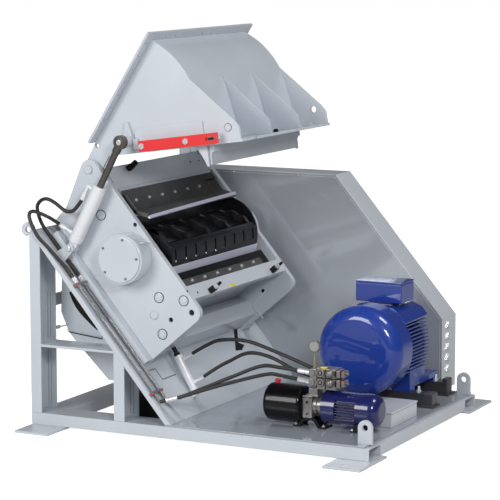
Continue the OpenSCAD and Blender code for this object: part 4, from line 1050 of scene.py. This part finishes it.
# hopper cylinder's rod with its neck and eye, and the pins at both ends
rodSizes = {
    "rings": [(20, 326), (20, 652), (23, 656), (25, 660), (25, 690)],
    "reach": 725.7, "eye": 41, "eyeHalf": 18, "eyeRing": [(30, 0), (30, 3), (24, 4), (24, 1)],
    "pin": 16, "pinLength": 11, "footBolt": 17, "footBoltY": 60,
}
eyeFront, reach = -rodSizes["eyeHalf"], rodSizes["reach"]
rodParts = [
    turned(rodSizes["rings"], onCylinder),
    disc(0, eyeFront, reach, rodSizes["eye"], 2 * rodSizes["eyeHalf"], onCylinder, 48, 3),
    turned(rodSizes["eyeRing"], onCylinder @ shift(0, eyeFront, reach) @ towardFront, 40),
]
kept(fused(rodParts), "hopper_cylinder_rod_steel", "rodSteel", "hopper_cylinder_rod")
eyePin = smooth(disc(0, eyeFront - 10, reach, rodSizes["pin"], rodSizes["pinLength"], onCylinder, 24, 3))
kept(eyePin, "cylinder_eye_pin", "brightSteel", body="cylinder_rod")
lugBolt = disc(footPlace.x, rodSizes["footBoltY"], footPlace.z, rodSizes["footBolt"], 10, upright, 6, 2)
kept(smooth(lugBolt), "cylinder_foot_bolt", "brightSteel")
print("cylinder ready")

# hopper: side plates with their holes, and the inlet flange with its rows of holes
hopperHoles = {"hinge": (50, 200, 133, 13, 1300), "lifting": (920, 1300, 171, 20, 200)}
hopperSides = dressed("hopper_sides", 2)
hingeHole = disc(*hopperHoles["hinge"], onHopper, 24, 0)
cut(hopperSides, hingeHole, disc(*hopperHoles["lifting"], onHopper, edge=0))
kept(smooth(hopperSides), "hopper_sides_drilled", "greyPaint", "hopper_sides")
inletSizes = {
    "place": (45, 0, 159), "tilt": -50, "hole": [(7, -5), (7, 25)],
    "sideRows": (189, 1461), "sideHoles": range(60, 700, 90),
    "topRow": 728, "topHoles": range(270, 1420, 115),
}
onInlet = onHopper @ shift(*inletSizes["place"]) @ turn(inletSizes["tilt"], "Y")
holePlaces = [onInlet @ shift(x, y, 0) for x in inletSizes["sideHoles"] for y in inletSizes["sideRows"]]
holePlaces += [onInlet @ shift(inletSizes["topRow"], y, 0) for y in inletSizes["topHoles"]]
inlet = dressed("inlet_flange", 2)
cut(inlet, studs(inletSizes["hole"], holePlaces, 12))
kept(smooth(inlet), "inlet_flange_drilled", "sheetPaint", "inlet_flange")

# hopper: backing plate, gusset and pads of the red bar, and the lip with its cheeks
cheek = [(705, 64), (779, 64), (779, -58), (766, -60), (752, -22), (732, 18)]
hopperBlocks = {
    "backing": ((323, 212, 82), (774, 226, 207), 3),
    "barPad": ((314, 190, 88), (346, 226, 150), 4),
    "lip": ((774, 246, -52), (790, 1404, 66), 2),
    "lipBar": ((790, 246, 20), (812, 1404, 64), 3),
    "barStop": ((846, 175, 92), (880, 226, 112), 3),
    "flangePad": ((945, 1196, 79), (985, 1236, 97), 3),
}
hopperPlates = {
    "gusset": ([(240, 140), (306, 140), (306, 178), (287, 252), (279, 258), (270, 252)], 200, 226, 3),
    "frontCheek": (cheek, 226, 242, 2),
    "rearCheek": (cheek, 1408, 1424, 2),
}
inletBar = {"outline": [(-14, 4), (4, 4), (4, 26), (-14, 14)], "span": (250, 1400), "place": (700, 0, -26)}
plug = {
    "place": (931, 224, 153), "rings": [(21, 0), (21, 2.5), (20, 3)],
    "shade": [(24, 0), (24, 1.2), (23.5, 1.5)],
}
plugPlace = onHopper @ shift(*plug["place"]) @ towardFront
hopperParts = blocks(hopperBlocks, onHopper) + plates(hopperPlates, onHopper)
hopperParts.append(turned(plug["rings"], plugPlace))
hopperParts.append(plate(inletBar["outline"], *inletBar["span"], onInlet @ shift(*inletBar["place"]), 4))
kept(fused(hopperParts), "hopper_trim", "greyPaint", body="hopper")

# hopper: black discs as painted shade in the scallops at the feet of the ribs, and the red bar's bolts and
# its slot, black as painted shade
scallop = {"across": (770, 1203), "place": (958, 0, 84, 14, 14)}
scallops = [disc(*scallop["place"], onHopper @ shift(0, y, 0), 24, 0) for y in scallop["across"]]
scallops.append(turned(plug["shade"], plugPlace))
kept(joined(scallops), "rib_scallop_shade", "blackSteel", body="hopper")
lockingBar = {
    "bolt": [(19, 0), (19, 9), (15, 12)], "bolts": (392, 685), "face": 150, "over": 102,
    "slot": ((833, 149, 95), (866, 151, 109)),
}
barPlaces = []
for p in lockingBar["bolts"]:
    barPlaces.append(onHopper @ shift(p, lockingBar["face"], lockingBar["over"]) @ towardFront)
kept(studs(lockingBar["bolt"], barPlaces), "locking_bar_bolts", "brightSteel", body="hopper")
kept(block(*lockingBar["slot"], onHopper, 0.5), "locking_bar_slot_shade", "blackSteel", body="hopper")
print("hopper ready")

# belt guard: glossy front sheets in a darker grey as painted shade and dark reflection, between light flanges
guard = smooth(dressed("belt_guard", 1), 30)
kept(guard, "belt_guard_sheets", "guardShadedPaint", "belt_guard")
repainted(guard, "greyPaint", lambda face: abs(face.normal.y) <= 0.9)

# belt guard: raised seams along its front edges, louvres on its end and bolts
guardLow, guardHigh = spanOf("belt_guard")
guardSizes = {
    "outline": [(guardHigh.x, 92), (guardHigh.x, 544), (1245, guardHigh.z), (guardLow.x, guardHigh.z),
        (guardLow.x, 800), (300, 690), (817, 92)],
    "seams": [(0, 7, 1645, 1650), (16, 20, 1647, 1650)],
    "louvre": [(-36, 0), (36, 0), (0, 34)], "louvreStand": 9,
    "louvresY": 1733, "louvres": (482, 412, 344, 276, 207),
    "bolt": (9, 8), "boltsY": 1643, "bolts": [(975, 1396), (1792, 640), (1955, 160), (520, 1390)],
}
seams = []
for first, last in zip(guardSizes["outline"], guardSizes["outline"][1:]):
    first, last = Vector(first), Vector(last)
    run = (last - first).normalized()
    inward = Vector((-run.y, run.x))
    for near, far, low, high in guardSizes["seams"]:
        strip = [first + inward * near, last + inward * near, last + inward * far, first + inward * far]
        seams.append(plate(strip, low, high, upright, 0.8))
kept(joined(seams), "guard_seams", "trayPaint")
louvre = plate(guardSizes["louvre"], 0, guardSizes["louvreStand"], turn(-90, "Z"), 1)
louvrePlaces = [shift(guardHigh.x, guardSizes["louvresY"], z) for z in guardSizes["louvres"]]
kept(copied(louvre, louvrePlaces), "guard_louvres", "brightSteel")
guardBolt = disc(0, 0, 0, *guardSizes["bolt"], sides=6)
guardBolts = copied(guardBolt, [shift(x, guardSizes["boltsY"], z) for x, z in guardSizes["bolts"]])
kept(guardBolts, "guard_bolts", "brightSteel")
print("guard ready")


# floor, sky and lamps, with places in metres
lightSizes = {
    "sky": 0.22, "mirror": 0.08, "floor": 1.0, "bounce": 0.15, "floorSize": 80, "floorShade": 0.5,
    "lamps": {
        "key": ((-1.5, -8.0, 4.5), (1, 0.6, 0.9), 4.0, 450),
        "fill": ((7.0, -6.0, 5.0), (1, 0.8, 0.9), 1.8, 310),
        "top": ((5.5, 1.0, 8.0), (1, 0.8, 0.9), 2.5, 250),
    },
}


def switched(tree, ray, low, high):  # one strength for most rays, and another for one kind of ray
    made = tree.nodes.new("ShaderNodeMapRange")
    rays = tree.nodes.new("ShaderNodeLightPath")
    tree.links.new(rays.outputs[ray], made.inputs["Value"])
    for socket, value in (("To Min", low), ("To Max", high)):
        if isinstance(value, float):
            made.inputs[socket].default_value = value
        else:
            tree.links.new(value, made.inputs[socket])
    return made.outputs["Result"]


def lamp(name, place, target, size, power):
    data = bpy.data.lights.new(name, "AREA")
    data.energy = power
    data.size = size
    made = linked(name, data)
    made.location = place
    made.rotation_mode = "QUATERNION"
    made.rotation_quaternion = (Vector(target) - Vector(place)).to_track_quat("-Z", "Y")


free()
bpy.ops.mesh.primitive_plane_add(size=lightSizes["floorSize"], location=(1, 0, 0))
floor = bpy.context.object
floor.name = "floor"
floorPaint = bpy.data.materials.new("floor")
floorPaint.use_nodes = True
floorTree = floorPaint.node_tree
floorShader = floorTree.nodes["Principled BSDF"]
floorShader.inputs["Base Color"].default_value = (*[lightSizes["floorShade"]] * 3, 1)
floorShader.inputs["Roughness"].default_value = 1
floorShader.inputs["Emission Color"].default_value = (1, 1, 1, 1)
floorGlow = switched(floorTree, "Is Camera Ray", lightSizes["bounce"], lightSizes["floor"])
floorTree.links.new(floorGlow, floorShader.inputs["Emission Strength"])
floor.data.materials.append(floorPaint)

sky = bpy.data.worlds.new("sky")
bpy.context.scene.world = sky
sky.use_nodes = True
background = sky.node_tree.nodes["Background"]
background.inputs["Color"].default_value = (1, 1, 1, 1)
mirrored = switched(sky.node_tree, "Is Glossy Ray", lightSizes["sky"], lightSizes["mirror"])
skyGlow = switched(sky.node_tree, "Is Camera Ray", mirrored, 1.0)
sky.node_tree.links.new(skyGlow, background.inputs["Strength"])

for name, (place, target, size, power) in lightSizes["lamps"].items():
    lamp(name, place, target, size, power)
bpy.context.scene.view_settings.view_transform = "Standard"
print("lights ready")
